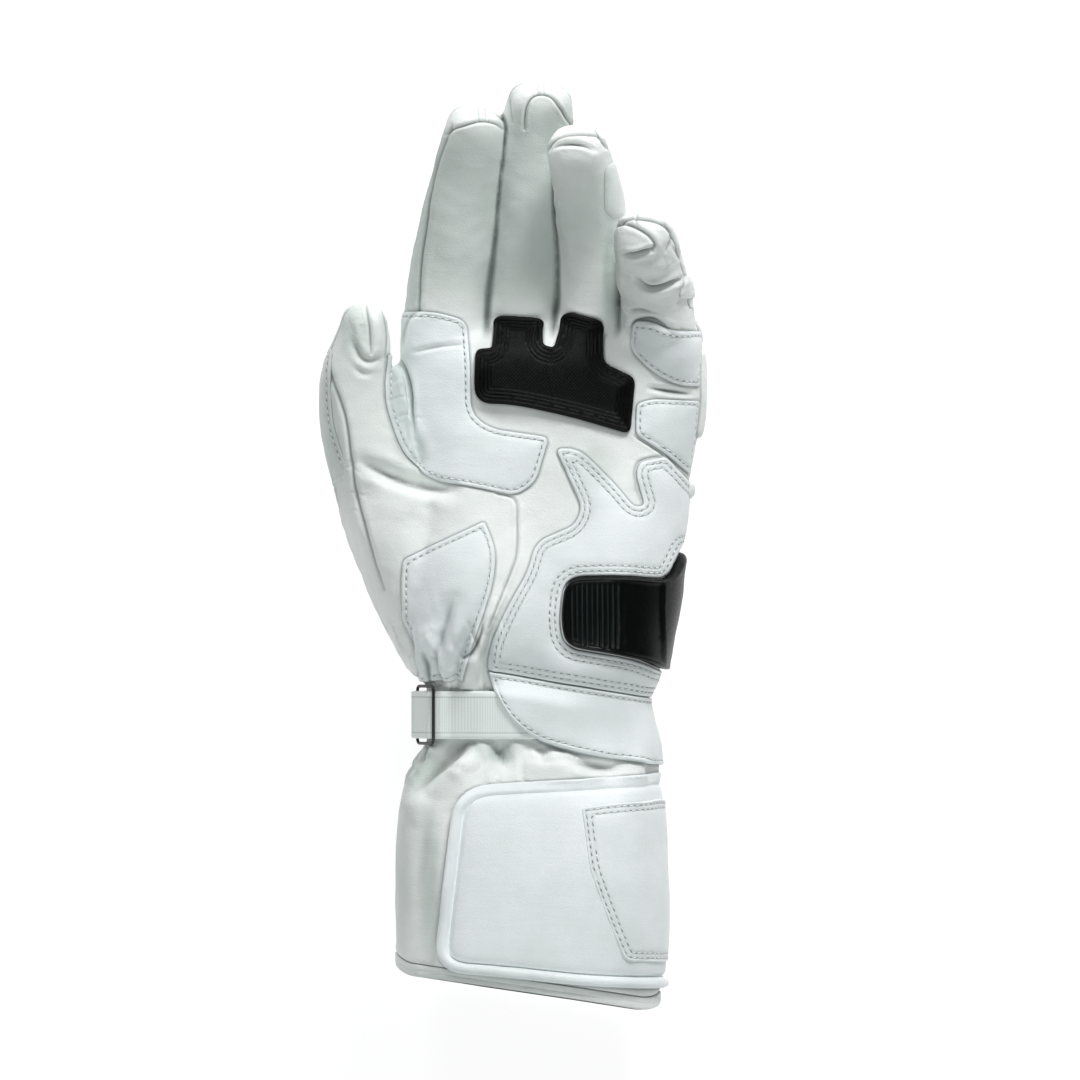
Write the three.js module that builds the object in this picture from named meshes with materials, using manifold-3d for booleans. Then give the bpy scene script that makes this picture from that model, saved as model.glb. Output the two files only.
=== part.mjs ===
// A left-hand leather motorcycle gauntlet, lying on its back with the palm up.
// Millimetres. +X runs to the little-finger side, +Y to the fingertips and +Z up
// from the surface that it lies on. The hand is hollow from the cuff's mouth to the
// fingertips, and every panel, patch, strap and pad is a closed solid of its own.

import * as THREE from "three";
import { mergeVertices } from "three/addons/utils/BufferGeometryUtils.js";
import Module from "manifold-3d";

const wasm = await Module();
wasm.setup();

// Thicknesses and clearances
const HIDE = 2.0; // main leather
const GAP = 0.35; // between two pieces that lie on each other
const PATCH_TOP = 1.65; // height of a sewn leather patch above the main leather
const SIDE_TOP = 1.5; // the thumb's outer panel
const KNUCKLE_TOP = 2.4; // padded ribs on the fingers' backs
const GRIP_TOP = 2.5; // moulded grip pad
const SLIDER_TOP = 3.4; // hard slider on the heel of the hand
const STRAP_TOP = 3.0; // folded wrist strap
const FLAP_TOP = 2.2; // wrist flap where it lies on the hand
const FLAP_OVER = 4.9; // wrist flap where it passes over the strap
const CUFF_FLAP_TOP = 3.2; // padded closing flap of the cuff
const CUFF_PATCH_TOP = 4.4; // patch sewn on the closing flap
const HEM_TOP = 0.8; // turned edge at the mouth
const HOOD_WALL = 1.6; // wall of the wrist flap around the strap that it covers
const WINDOW_GAP = 0.6; // between the slider and its window in the heel panel

// Places along the hand
const FINGER_CUT = 84.5; // the finger panels start here
const CUFF_CUT = -72.6; // the cuff starts below the strap
const MOUTH = { y: -159.8, slant: -0.146, lean: 0.032, leanFrom: 60, hem: 4.2 };
const STRAP = { low: -70.2, high: -52.6, end: 15, under: 30 };
const TAB = { right: -20, low: 8 }; // where the ring's anchor tab is sewn on
const EDGE_PAD_INNER = 50; // the edge pads lie on the little-finger side of this line

// How finely the round forms are cut
const HAND_SIDES = 24;
const FINGER_SIDES = 12;
const HAND_SQUARE = 2.6; // 2 is an ellipse, more is squarer
const FINGER_SQUARE = 2.3;
const TIP_STEPS = 3;
const ROD_SIDES = 12;
const OUTLINE_STEPS = 2; // along each rounded corner of an outline
const FRONT_ENDS = 5.5; // the front panel stops this far before the fingertip
const FLATNESS = 0.13; // facets closer than this to one plane are joined
const INSIDE_FLATNESS = 0.35; // the same for the inner face of the leather

// For the cutting shapes
const REACH = 120; // beyond every piece
const TOP_SIDE = 14; // above this an outline cuts only the palm side
const FINGER_REACH = 22; // beyond every finger's half width

function table(columns, rows) {
  const names = columns.split(" ");
  return rows.map((row) => Object.fromEntries(names.map((name, i) => [name, row[i]])));
}

// Sections of the cuff, wrist and palm, from the mouth to the roots of the fingers
const HAND = table("y left right low high", [
  [-176, -42, 53.2, -1.5, 66],
  [-150, -42, 53.2, -1.5, 65.5],
  [-126, -42, 53.0, -1.5, 64],
  [-108, -41.8, 52.4, -1.5, 62],
  [-97, -41.2, 51.8, -1.3, 60],
  [-89, -40.0, 51.2, -0.6, 58],
  [-82, -38.2, 51.2, 0.8, 55.5],
  [-76, -34.6, 52.0, 2.2, 52.5],
  [-70, -30.8, 51.6, 3.2, 50.5],
  [-62, -30.5, 49.2, 3.6, 50],
  [-54, -30.8, 49.4, 3.2, 50.8],
  [-50, -31.6, 51.0, 2.8, 51.4],
  [-46, -36.0, 53.0, 2.4, 52.8],
  [-36, -39.6, 54.8, 1.2, 54],
  [-24, -41.0, 57.2, 0, 54],
  [-10, -40.5, 58.8, -1, 53],
  [4, -40.0, 61.2, -1.5, 50.5],
  [18, -39.5, 62.8, -1.5, 48],
  [32, -39.5, 65.2, -1.5, 45.5],
  [44, -39.5, 67.6, -1.5, 43.5],
  [56, -39.5, 68.2, -1.2, 42],
  [66, -39.2, 68.0, -0.4, 40.5],
  [73, -38.2, 67.0, 2, 37],
  [78, -34.5, 63.5, 7, 31.5],
]);

// Swells and hollows of the palm side
const PALM_FORMS = table("x y reachX reachY height", [
  [-24, -14, 20, 30, 3.5], // ball of the thumb
  [40, -22, 20, 30, 3.0], // heel of the hand
  [6, 4, 16, 30, -3.5], // hollow of the palm
  [14, 62, 48, 12, 2.2], // pads under the fingers
  [2, -46, 12, 12, -2.5], // dip above the strap
]);

// Gathers around the hand: waves in the leather on both sides of the strap
const GATHERS = table("y reach waves phase height", [
  [-82, 8, 9, 0.6, 1.5],
  [-45, 5, 8, 2.2, 0.8],
]);

// Centre line and half sizes of each finger and the thumb, and the fingertip's length
const FINGERS = {
  index: {
    roll: 0,
    tip: 9,
    rows: table("x y z wide thick", [
      [-24.6, 62, 20, 14.4, 15],
      [-24.4, 76, 20.6, 14.4, 14.8],
      [-24.0, 90, 22, 14.1, 14],
      [-21.4, 108, 25.5, 13.5, 13],
      [-17.7, 130, 31, 11.6, 11.8],
      [-15.0, 144, 36.5, 10.4, 10.6],
      [-14.0, 149.5, 39, 9.8, 9.7],
    ]),
  },
  middle: {
    roll: 0,
    tip: 9.5,
    rows: table("x y z wide thick", [
      [2.6, 62, 20, 12.2, 15],
      [3.2, 77, 20.3, 12.0, 14.6],
      [3.9, 92, 21.5, 12.0, 13.8],
      [5.7, 112, 24.5, 11.6, 12.8],
      [7.3, 134, 29.5, 11.6, 11.8],
      [9.6, 151, 35.5, 12.0, 10.8],
      [10.2, 158, 38.5, 11.4, 10.2],
    ]),
  },
  ring: {
    roll: 8,
    tip: 9,
    rows: table("x y z wide thick", [
      [27.0, 60, 20, 12.6, 15],
      [27.6, 76, 21.5, 12.3, 14.4],
      [28.8, 90, 24.3, 11.6, 13.4],
      [29.0, 106, 30, 11.6, 12.4],
      [28.0, 119.5, 38.5, 11.9, 11.6],
      [25.6, 132, 49, 11.6, 11.0],
      [23.2, 140.6, 58, 10.8, 10.2],
    ]),
  },
  little: {
    roll: 22,
    tip: 9,
    rows: table("x y z wide thick", [
      [53.6, 48, 21, 13.3, 14.5],
      [54.2, 62, 24.5, 13.0, 14],
      [54.0, 72, 29, 13.0, 13.6],
      [53.2, 77.6, 32.2, 12.6, 11.8],
      [52.2, 84, 36.5, 13.0, 13.2],
      [51.0, 91.5, 42.2, 12.4, 11.2],
      [49.9, 97, 46.6, 12.8, 12.6],
      [49.0, 102.4, 52, 12.0, 10.8],
      [48.2, 106, 55.6, 11.9, 11.6],
      [47.2, 110.2, 60, 10.8, 10.4],
    ]),
  },
  thumb: {
    roll: -14,
    tip: 7,
    rows: table("x y z wide thick", [
      [-17.5, -40, 25, 19.4, 19.5],
      [-27.0, -21, 26, 21, 19.5],
      [-35.8, -3, 26.5, 20.4, 18.8],
      [-43.0, 12, 27.2, 19, 18.2],
      [-46.8, 21.5, 27.8, 17.4, 15.6],
      [-51.0, 33, 28.8, 15.8, 15.8],
      [-54.8, 47, 30.5, 14.2, 14],
      [-56.0, 61, 32.5, 12.4, 12.4],
      [-54.2, 73, 35, 10.0, 10.8],
      [-53.4, 79.5, 36.5, 8.2, 9],
    ]),
  },
};

// The web of leather between the thumb and the index finger
const WEB = {
  roll: 0,
  tip: 3,
  rows: table("x y z wide thick", [
    [-38, 16, 26, 9, 17],
    [-41.5, 34, 27, 8, 14.5],
    [-42.6, 50, 28, 6.4, 11.5],
    [-42.6, 60, 28.5, 5, 8.5],
  ]),
};

// Outlines seen from above, with the radius that rounds each corner
const OUTLINE = {
  thumb: table("x y round", [
    [-90, 4, 0], [-66, 10, 0], [-50, 21.5, 8], [-37.5, 31.5, 4], [-42.2, 44, 6],
    [-43.4, 60, 0], [-42.6, 100, 0], [-90, 100, 0],
  ]),
  grip_pad: table("x y round", [
    [-13.8, 50.4, 3], [-13.2, 69.6, 2.5], [-7.4, 70, 1], [-6.2, 82.4, 3.5], [10.8, 81.4, 3.5],
    [11, 71, 1.5], [14.8, 70, 1.5], [19.2, 84.1, 3.5], [32.6, 80.2, 3], [32.6, 65, 3],
    [44, 59.6, 3], [42.2, 39.4, 3], [21, 45.6, 8], [0, 50.2, 8],
  ]),
  web_patch: table("x y round", [
    [-41.6, 83.6, 0], [-28, 83.8, 6], [-16.6, 80.4, 4], [-15, 66, 6], [-14.8, 47, 5],
    [-8, 41.6, 5], [13.4, 38.4, 3], [8.5, 22, 4], [1, 17.2, 4], [-14, 20.4, 6],
    [-29, 22.6, 6], [-40.5, 33, 6], [-46.6, 52, 8], [-45.4, 68, 0], [-41.8, 69, 0],
  ]),
  thenar_patch: table("x y round", [
    [-39.4, -5.6, 2], [-10, 8.2, 1.5], [-5.6, -2, 6], [-6.6, -14, 6], [-15.4, -40, 6],
    [-17.8, -49.4, 1], [-33.6, -49.4, 1], [-39.6, -28, 5], [-39.9, -12, 3],
  ]),
  heel_panel: table("x y round", [
    [-8.8, -45.3, 1], [-8, -36, 6], [-1.5, -21.5, 8], [5.5, -10, 6], [8, 0.5, 5],
    [22, 6.6, 3], [25, 13, 4], [20, 24, 6], [15.2, 34.4, 3], [24, 34.4, 6],
    [36, 22.5, 8], [43.5, 13.2, 3], [47.2, 13.8, 2], [44.2, 25, 3], [46, 30, 3],
    [54.5, 30.4, 4], [66, 20, 0], [80, 20, 0], [80, -60.4, 0],
  ]),
  slider: table("x y round", [
    [19, -12.6, 4], [38, -12, 10], [55, -13.4, 5], [60.8, -1.2, 1], [80, -1.2, 0],
    [80, -45.4, 0], [54.5, -45.4, 2], [43, -40.4, 8], [19.4, -36.8, 4], [17.4, -28, 5],
  ]),
  little_patch_upper: table("x y round", [
    [42.6, 69, 3], [43, 80, 2.5], [50, 80, 3], [56, 77, 3], [80, 76, 0],
    [80, 56.4, 0], [60, 56.8, 4], [50, 61.8, 5],
  ]),
  little_patch_lower: table("x y round", [
    [44.3, 50.5, 2], [50, 52.2, 3], [80, 51, 0], [80, 15, 0], [64, 24.8, 2],
    [54.4, 32.4, 2], [44.1, 39.2, 2],
  ]),
  wrist_flap: table("x y round", [
    [-8.8, -46, 1], [-6.5, -54, 8], [1, -65.5, 12], [14, -73.6, 12], [35, -77.4, 20],
    [58, -80.2, 0], [80, -80.2, 0], [80, -61.1, 0],
  ]),
  cuff_flap: table("x y round", [
    [-20.5, -86.8, 13], [20, -84.4, 20], [44, -83.2, 12], [58, -81.4, 0], [80, -81.4, 0],
    [80, -156, 0], [-6, -151.8, 8], [-28, -150.4, 11],
  ]),
  cuff_flap_patch: table("x y round", [
    [24.2, -94.8, 1.5], [60, -91, 0], [80, -91, 0], [80, -151.4, 0], [39, -149.6, 3],
    [34, -137, 10], [27, -117, 4],
  ]),
  thumb_side_panel: table("x y round", [
    [-90, 76, 0], [-64.6, 71, 3], [-65.4, 58, 10], [-64.6, 42, 10], [-58, 24, 0], [-90, 12, 0],
  ]),
};

// Pads and tabs that show at the little-finger edge of the hand, seen from that side
const EDGE_PADS = table("name low high down up bottom top", [
  ["little_knuckle_pad_tip", 88.2, 96.6, 30, 52, GAP, KNUCKLE_TOP],
  ["little_knuckle_pad_middle", 71.6, 83.6, 14, 27.5, GAP, KNUCKLE_TOP],
  ["little_knuckle_pad_base", 38, 69.8, 8, 26, GAP, KNUCKLE_TOP],
  ["edge_tab", 16, 22.8, 14, 28, PATCH_TOP + GAP, KNUCKLE_TOP + 1],
]);
const RING_PAD = { low: 117, high: 137, inner: 33 };

const COLOURS = {
  leather: { color: 0xe6eae8, roughness: 0.5, metalness: 0 },
  patch: { color: 0xeceeee, roughness: 0.45, metalness: 0 },
  rubber: { color: 0x17191a, roughness: 0.6, metalness: 0 },
  slider: { color: 0x14201f, roughness: 0.3, metalness: 0 },
  metal: { color: 0x4a4d4e, roughness: 0.35, metalness: 0.9 },
  textile: { color: 0xe2e6e6, roughness: 0.75, metalness: 0 },
};

// Solids from meshes, and back

function signedVolume(points, faces) {
  let sum = 0;
  for (const [a, b, c] of faces) {
    sum += points[a].dot(points[b].clone().cross(points[c]));
  }
  return sum;
}

function solidOf(points, faces) {
  const outward = signedVolume(points, faces) > 0;
  const vertProperties = new Float32Array(points.flatMap((p) => [p.x, p.y, p.z]));
  const triVerts = new Uint32Array(faces.flatMap(([a, b, c]) => (outward ? [a, b, c] : [a, c, b])));
  return new wasm.Manifold(new wasm.Mesh({ numProp: 3, vertProperties, triVerts }));
}

function solidFromGeometry(geometry) {
  geometry.deleteAttribute("normal");
  geometry.deleteAttribute("uv");
  const merged = mergeVertices(geometry, 1e-4);
  const vertProperties = new Float32Array(merged.attributes.position.array);
  const triVerts = new Uint32Array(merged.index.array);
  return new wasm.Manifold(new wasm.Mesh({ numProp: 3, vertProperties, triVerts }));
}

function largest(solid) {
  const parts = solid.decompose();
  return parts.reduce((best, part) => (part.volume() > best.volume() ? part : best));
}

// A skin over rings of equal length. A ring of one point closes the skin as a pole,
// and joined: true runs the last ring back into the first.
function loft(rings, { joined = false } = {}) {
  const points = rings.flat();
  const starts = rings.map((ring, i) => rings.slice(0, i).reduce((n, r) => n + r.length, 0));
  const faces = [];
  const pairs = joined ? rings.length : rings.length - 1;
  for (let i = 0; i < pairs; i++) {
    const next = (i + 1) % rings.length;
    const count = Math.max(rings[i].length, rings[next].length);
    for (let k = 0; k < count; k++) {
      const l = (k + 1) % count;
      const a = starts[i] + (k % rings[i].length);
      const b = starts[i] + (l % rings[i].length);
      const c = starts[next] + (l % rings[next].length);
      const d = starts[next] + (k % rings[next].length);
      if (a !== b) faces.push([a, b, c]);
      if (c !== d) faces.push([a, c, d]);
    }
  }
  return solidOf(points, faces);
}

function middleOf(ring) {
  const sum = new THREE.Vector3();
  for (const p of ring) sum.add(p);
  return sum.divideScalar(ring.length);
}

function capped(rings) {
  return loft([[middleOf(rings[0])], ...rings, [middleOf(rings.at(-1))]]);
}

function rounded(angle, square) {
  const bulge = (v) => Math.sign(v) * Math.abs(v) ** (2 / square);
  return { u: bulge(Math.cos(angle)), v: bulge(Math.sin(angle)) };
}

// The hand's own form, grown outwards by a distance or shrunk by a negative one

function bell(distance, reach) {
  return Math.exp(-((distance / reach) ** 2));
}

function palmHeight(x, y) {
  return PALM_FORMS.reduce(
    (sum, form) =>
      sum + form.height * bell(x - form.x, form.reachX) * bell(y - form.y, form.reachY),
    0,
  );
}

function gather(angle, y) {
  return GATHERS.reduce(
    (sum, g) => sum + g.height * bell(y - g.y, g.reach) * Math.cos(g.waves * angle + g.phase),
    0,
  );
}

function handPoint(row, angle, grow) {
  const { u, v } = rounded(angle, HAND_SQUARE);
  const wave = gather(angle, row.y) + grow;
  const x = (row.left + row.right) / 2 + u * ((row.right - row.left) / 2 + wave);
  const z = (row.low + row.high) / 2 + v * ((row.high - row.low) / 2 + wave);
  const lifted = z + palmHeight(x, row.y) * Math.max(0, Math.sin(angle));
  return new THREE.Vector3(x, row.y, Math.max(lifted, -grow));
}

function handRing(row, grow) {
  return Array.from({ length: HAND_SIDES }, (_, k) =>
    handPoint(row, (k / HAND_SIDES) * 2 * Math.PI, grow),
  );
}

function hand(grow) {
  const rings = HAND.map((row) => handRing(row, grow));
  const end = middleOf(rings.at(-1));
  end.y += 2 + grow;
  return loft([[middleOf(rings[0])], ...rings, [end]]);
}

// The frame of a finger's section: side is across it and up is its palm side
function sectionFrame(rows, i, roll) {
  const at = (row) => new THREE.Vector3(row.x, row.y, row.z);
  const before = at(rows[Math.max(0, i - 1)]);
  const after = at(rows[Math.min(rows.length - 1, i + 1)]);
  const along = after.sub(before).normalize();
  const side = along.clone().cross(new THREE.Vector3(0, 0, 1)).normalize();
  side.applyAxisAngle(along, -THREE.MathUtils.degToRad(roll));
  const up = side.clone().cross(along);
  return { centre: at(rows[i]), along, side, up };
}

function sectionRing(frame, wide, thick) {
  return Array.from({ length: FINGER_SIDES }, (_, k) => {
    const { u, v } = rounded((k / FINGER_SIDES) * 2 * Math.PI, FINGER_SQUARE);
    return frame.centre
      .clone()
      .addScaledVector(frame.side, u * wide)
      .addScaledVector(frame.up, v * thick);
  });
}

function finger({ rows, roll, tip }, grow) {
  const frames = rows.map((_, i) => sectionFrame(rows, i, roll));
  const rings = rows.map((row, i) => sectionRing(frames[i], row.wide + grow, row.thick + grow));
  const last = rows.at(-1);
  const end = frames.at(-1);
  const reach = tip + grow;
  for (let k = 1; k <= TIP_STEPS; k++) {
    const angle = (k / (TIP_STEPS + 1)) * (Math.PI / 2);
    const centre = end.centre.clone().addScaledVector(end.along, reach * Math.sin(angle));
    const shrink = Math.cos(angle);
    rings.push(
      sectionRing({ ...end, centre }, (last.wide + grow) * shrink, (last.thick + grow) * shrink),
    );
  }
  const pole = end.centre.clone().addScaledVector(end.along, reach);
  return loft([[middleOf(rings[0])], ...rings, [pole]]);
}

const skins = new Map();
function skin(grow) {
  if (!skins.has(grow)) {
    const fingers = [...Object.values(FINGERS), WEB].map((each) => finger(each, grow));
    skins.set(grow, fingers.reduce((sum, each) => sum.add(each), hand(grow)));
  }
  return skins.get(grow);
}

// Cutting shapes

function outlinePoints(rows) {
  const shape = new THREE.Shape();
  const points = rows.map((row) => new THREE.Vector2(row.x, row.y));
  rows.forEach((row, i) => {
    const here = points[i];
    const toward = (other, distance) =>
      here.clone().lerp(other, Math.min(0.49, distance / here.distanceTo(other)));
    const enter = toward(points[(i + rows.length - 1) % rows.length], row.round);
    const leave = toward(points[(i + 1) % rows.length], row.round);
    if (i === 0) shape.moveTo(enter.x, enter.y);
    else shape.lineTo(enter.x, enter.y);
    if (row.round > 0) shape.quadraticCurveTo(here.x, here.y, leave.x, leave.y);
  });
  shape.closePath();
  return shape.getPoints(OUTLINE_STEPS);
}

function widened(points, distance) {
  const turning = THREE.ShapeUtils.area(points) > 0 ? 1 : -1;
  const ring = points.filter((p, i) => p.distanceTo(points[(i + 1) % points.length]) > 1e-6);
  return ring.map((p, i) => {
    const before = p.clone().sub(ring[(i + ring.length - 1) % ring.length]).normalize();
    const after = ring[(i + 1) % ring.length].clone().sub(p).normalize();
    const along = before.add(after).normalize();
    return new THREE.Vector2(p.x + turning * distance * along.y, p.y - turning * distance * along.x);
  });
}

function prism(points, low, high) {
  const geometry = new THREE.ExtrudeGeometry(new THREE.Shape(points), {
    depth: high - low,
    bevelEnabled: false,
  });
  geometry.translate(0, 0, low);
  return solidFromGeometry(geometry);
}

function outlinePrism(name, { grow = 0, low = TOP_SIDE } = {}) {
  const points = outlinePoints(OUTLINE[name]);
  return prism(grow === 0 ? points : widened(points, grow), low, REACH);
}

function block(x0, x1, y0, y1, z0, z1) {
  const geometry = new THREE.BoxGeometry(x1 - x0, y1 - y0, z1 - z0);
  geometry.translate((x0 + x1) / 2, (y0 + y1) / 2, (z0 + z1) / 2);
  return solidFromGeometry(geometry);
}

// Everything on the finger side of a slanted line across the mouth
function aboveMouth(distance) {
  const line = (x) => MOUTH.y + MOUTH.slant * x + distance;
  const corners = [
    [-REACH, line(-REACH)], [REACH, line(REACH)], [REACH, 2 * REACH], [-REACH, 2 * REACH],
  ];
  const geometry = new THREE.ExtrudeGeometry(
    new THREE.Shape(corners.map(([x, y]) => new THREE.Vector2(x, y))),
    { depth: 2 * REACH, bevelEnabled: false },
  );
  geometry.translate(0, 0, -REACH);
  const positions = geometry.attributes.position;
  for (let i = 0; i < positions.count; i++) {
    positions.setY(i, positions.getY(i) + MOUTH.lean * (positions.getZ(i) - MOUTH.leanFrom));
  }
  return solidFromGeometry(geometry);
}

// The seam at the hand's edges, where the palm meets the back
const PARTING = table("y z", [[-90, 27], [-40, 27], [0, 24], [40, 20], [REACH, 20]]);

function belowParting(shift) {
  const points = PARTING.map((row) => new THREE.Vector2(row.y, row.z + shift));
  const ends = [PARTING.at(-1), PARTING[0]];
  points.push(...ends.map((row) => new THREE.Vector2(row.y, -REACH)));
  const geometry = new THREE.ExtrudeGeometry(new THREE.Shape(points), {
    depth: 2 * REACH,
    bevelEnabled: false,
  });
  // The outline's x and y become the hand's y and z
  geometry.applyMatrix4(
    new THREE.Matrix4().makeBasis(
      new THREE.Vector3(0, 1, 0),
      new THREE.Vector3(0, 0, 1),
      new THREE.Vector3(1, 0, 0),
    ),
  );
  geometry.translate(-REACH, 0, 0);
  return solidFromGeometry(geometry);
}

// The palm side of a finger, up to where its front panel ends
function fingerFrontRegion({ rows, roll, tip }, extra) {
  const frames = rows.map((_, i) => sectionFrame(rows, i, roll));
  const end = { ...frames.at(-1) };
  end.centre = end.centre.clone().addScaledVector(end.along, tip - FRONT_ENDS + extra);
  const corner = (frame, side, up) =>
    frame.centre.clone().addScaledVector(frame.side, side).addScaledVector(frame.up, up);
  const rings = [...frames, end].map((frame) => [
    corner(frame, -FINGER_REACH, -extra),
    corner(frame, FINGER_REACH, -extra),
    corner(frame, FINGER_REACH, FINGER_REACH),
    corner(frame, -FINGER_REACH, FINGER_REACH),
  ]);
  return capped(rings);
}

// Pieces of the hand itself

const hollow = skin(-HIDE).asOriginal().simplify(INSIDE_FLATNESS);
const hide = skin(0).subtract(hollow).intersect(aboveMouth(0));
const overFingers = block(-REACH, REACH, FINGER_CUT, 2 * REACH, -REACH, REACH);
const thumbRegion = outlinePrism("thumb", { low: -REACH });
const thumbAround = outlinePrism("thumb", { low: -REACH, grow: GAP });

function layer(bottom, top, region) {
  return largest(skin(top).intersect(region).subtract(skin(bottom)));
}

function handPieces() {
  const around = hide
    .subtract(thumbAround)
    .intersect(block(-REACH, REACH, CUFF_CUT + GAP, FINGER_CUT - GAP, -REACH, REACH));
  return {
    palm_leather: largest(around.subtract(belowParting(GAP / 2))),
    back_leather: largest(around.intersect(belowParting(-GAP / 2))),
  };
}

function cuffPieces() {
  const cuff = hide
    .intersect(aboveMouth(MOUTH.hem + GAP))
    .intersect(block(-REACH, REACH, -2 * REACH, CUFF_CUT, -REACH, REACH));
  const hem = skin(HEM_TOP)
    .subtract(hollow)
    .intersect(aboveMouth(0))
    .subtract(aboveMouth(MOUTH.hem))
    .intersect(block(-REACH, REACH, -2 * REACH, 0, 0, REACH));
  return { cuff_leather: largest(cuff), cuff_hem: largest(hem) };
}

function fingerPieces(name) {
  const own = finger(FINGERS[name], 0).subtract(hollow);
  const kept = name === "thumb"
    ? hide.intersect(thumbRegion)
    : own.intersect(overFingers).subtract(thumbAround);
  return {
    [`${name}_front`]: largest(kept.intersect(fingerFrontRegion(FINGERS[name], 0))),
    [`${name}_back`]: largest(kept.subtract(fingerFrontRegion(FINGERS[name], GAP))),
  };
}

// Patches and pads sewn on the hand

function patchPieces() {
  const window = outlinePrism("slider", { grow: WINDOW_GAP });
  return {
    grip_pad: layer(GAP, GRIP_TOP, outlinePrism("grip_pad")),
    index_web_patch: layer(GAP, PATCH_TOP, outlinePrism("web_patch")),
    thenar_patch: layer(GAP, PATCH_TOP, outlinePrism("thenar_patch", { low: 26 })),
    heel_panel: layer(GAP, PATCH_TOP, outlinePrism("heel_panel", { low: 10 }).subtract(window)),
    heel_slider: layer(GAP, SLIDER_TOP, outlinePrism("slider", { low: 16 })),
    little_patch_upper: layer(GAP, PATCH_TOP, outlinePrism("little_patch_upper", { low: 28 })),
    little_patch_lower: layer(GAP, PATCH_TOP, outlinePrism("little_patch_lower", { low: 28.5 })),
    thumb_side_panel: layer(GAP, SIDE_TOP, outlinePrism("thumb_side_panel")),
  };
}

function edgePadPieces() {
  const pieces = EDGE_PADS.map(({ name, low, high, down, up, bottom, top }) => [
    name,
    layer(bottom, top, block(EDGE_PAD_INNER, REACH, low, high, down, up)),
  ]);
  const { low, high, inner } = RING_PAD;
  const ringPad = finger(FINGERS.ring, PATCH_TOP)
    .subtract(finger(FINGERS.ring, GAP))
    .intersect(block(inner, REACH, low, high, 0, REACH));
  return { ...Object.fromEntries(pieces), ring_knuckle_pad: largest(ringPad) };
}

// The wrist closure: a wire ring between the folded strap and its anchor tab

const RING_WIRE = 0.9; // radius
const BAR_CLEAR = 0.3; // between the wire and the leather folded round it
const FOLD = 1.2; // thickness of that leather
const STRAP_BAR = { x: -28.4, z: 44.5 };
const TAB_BAR = { x: -34.2, z: 31 };
const RING_ENDS = { low: STRAP.low - 1.7, high: STRAP.high + 1.7 };
const WIRE_SIDES = 6;
const CORNER_STEPS = 4;
const CORNER = 2.6;

function circleRing(centre, radius, side, up, sides) {
  return Array.from({ length: sides }, (_, k) => {
    const angle = (k / sides) * 2 * Math.PI;
    return centre
      .clone()
      .addScaledVector(side, radius * Math.cos(angle))
      .addScaledVector(up, radius * Math.sin(angle));
  });
}

// The ring is a rounded rectangle: across runs from the tab's bar to the strap's bar
function wristRing() {
  const tab = new THREE.Vector3(TAB_BAR.x, 0, TAB_BAR.z);
  const across = new THREE.Vector3(STRAP_BAR.x, 0, STRAP_BAR.z).sub(tab);
  const halfAcross = across.length() / 2;
  const halfLong = (RING_ENDS.high - RING_ENDS.low) / 2;
  const centre = tab.addScaledVector(across, 0.5);
  centre.y = (RING_ENDS.high + RING_ENDS.low) / 2;
  across.normalize();
  const long = new THREE.Vector3(0, 1, 0);
  const out = across.clone().cross(long).normalize();
  const rings = [];
  for (const [cornerSign, start] of [[[1, 1], 0], [[-1, 1], 1], [[-1, -1], 2], [[1, -1], 3]]) {
    for (let k = 0; k <= CORNER_STEPS; k++) {
      const angle = ((start + k / CORNER_STEPS) * Math.PI) / 2;
      const facing = across
        .clone()
        .multiplyScalar(Math.cos(angle))
        .addScaledVector(long, Math.sin(angle));
      const place = centre
        .clone()
        .addScaledVector(across, cornerSign[0] * (halfAcross - CORNER))
        .addScaledVector(long, cornerSign[1] * (halfLong - CORNER))
        .addScaledVector(facing, CORNER);
      rings.push(circleRing(place, RING_WIRE, facing, out, WIRE_SIDES));
    }
  }
  return loft(rings, { joined: true });
}

function rod(bar, radius, low, high) {
  const across = new THREE.Vector3(1, 0, 0);
  const up = new THREE.Vector3(0, 0, 1);
  const ends = [low, high].map((y) =>
    circleRing(new THREE.Vector3(bar.x, y, bar.z), radius, across, up, ROD_SIDES),
  );
  return capped(ends);
}

function foldedRound(bar, flat) {
  const fold = rod(bar, RING_WIRE + BAR_CLEAR + FOLD, STRAP.low, STRAP.high);
  const room = rod(bar, RING_WIRE + BAR_CLEAR, STRAP.low - 1, STRAP.high + 1);
  return largest(flat.add(fold).subtract(room).subtract(skin(GAP)));
}

function strapPieces() {
  const { low, high, end, under } = STRAP;
  const around = (beyondEnd, beside) =>
    block(-REACH, end + beyondEnd, low - beside, high + beside, 0, REACH);
  const overStrap = block(STRAP_BAR.x, end, low, high, under, REACH);
  const besideTab = block(-REACH, TAB.right, low, high, TAB.low, TAB_BAR.z);
  const flap = outlinePrism("wrist_flap", { low: 12 });
  const hood = around(2 * HOOD_WALL, HOOD_WALL);
  const tunnel = around(GAP, GAP);
  const lying = skin(FLAP_TOP).subtract(skin(GAP)).subtract(tunnel);
  const walls = skin(FLAP_OVER).subtract(skin(GAP)).intersect(hood).subtract(tunnel);
  const over = skin(FLAP_OVER).subtract(skin(STRAP_TOP + GAP)).intersect(hood);
  return {
    wrist_strap: foldedRound(STRAP_BAR, skin(STRAP_TOP).intersect(overStrap)),
    ring_tab: foldedRound(TAB_BAR, skin(PATCH_TOP).intersect(besideTab)),
    wrist_ring: wristRing(),
    wrist_flap: largest(lying.add(walls).add(over).intersect(flap)),
  };
}

function cuffFlapPieces() {
  return {
    cuff_flap: layer(GAP, CUFF_FLAP_TOP, outlinePrism("cuff_flap")),
    cuff_flap_patch: layer(
      CUFF_FLAP_TOP + GAP,
      CUFF_PATCH_TOP,
      outlinePrism("cuff_flap_patch", { low: 18 }),
    ),
  };
}

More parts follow.
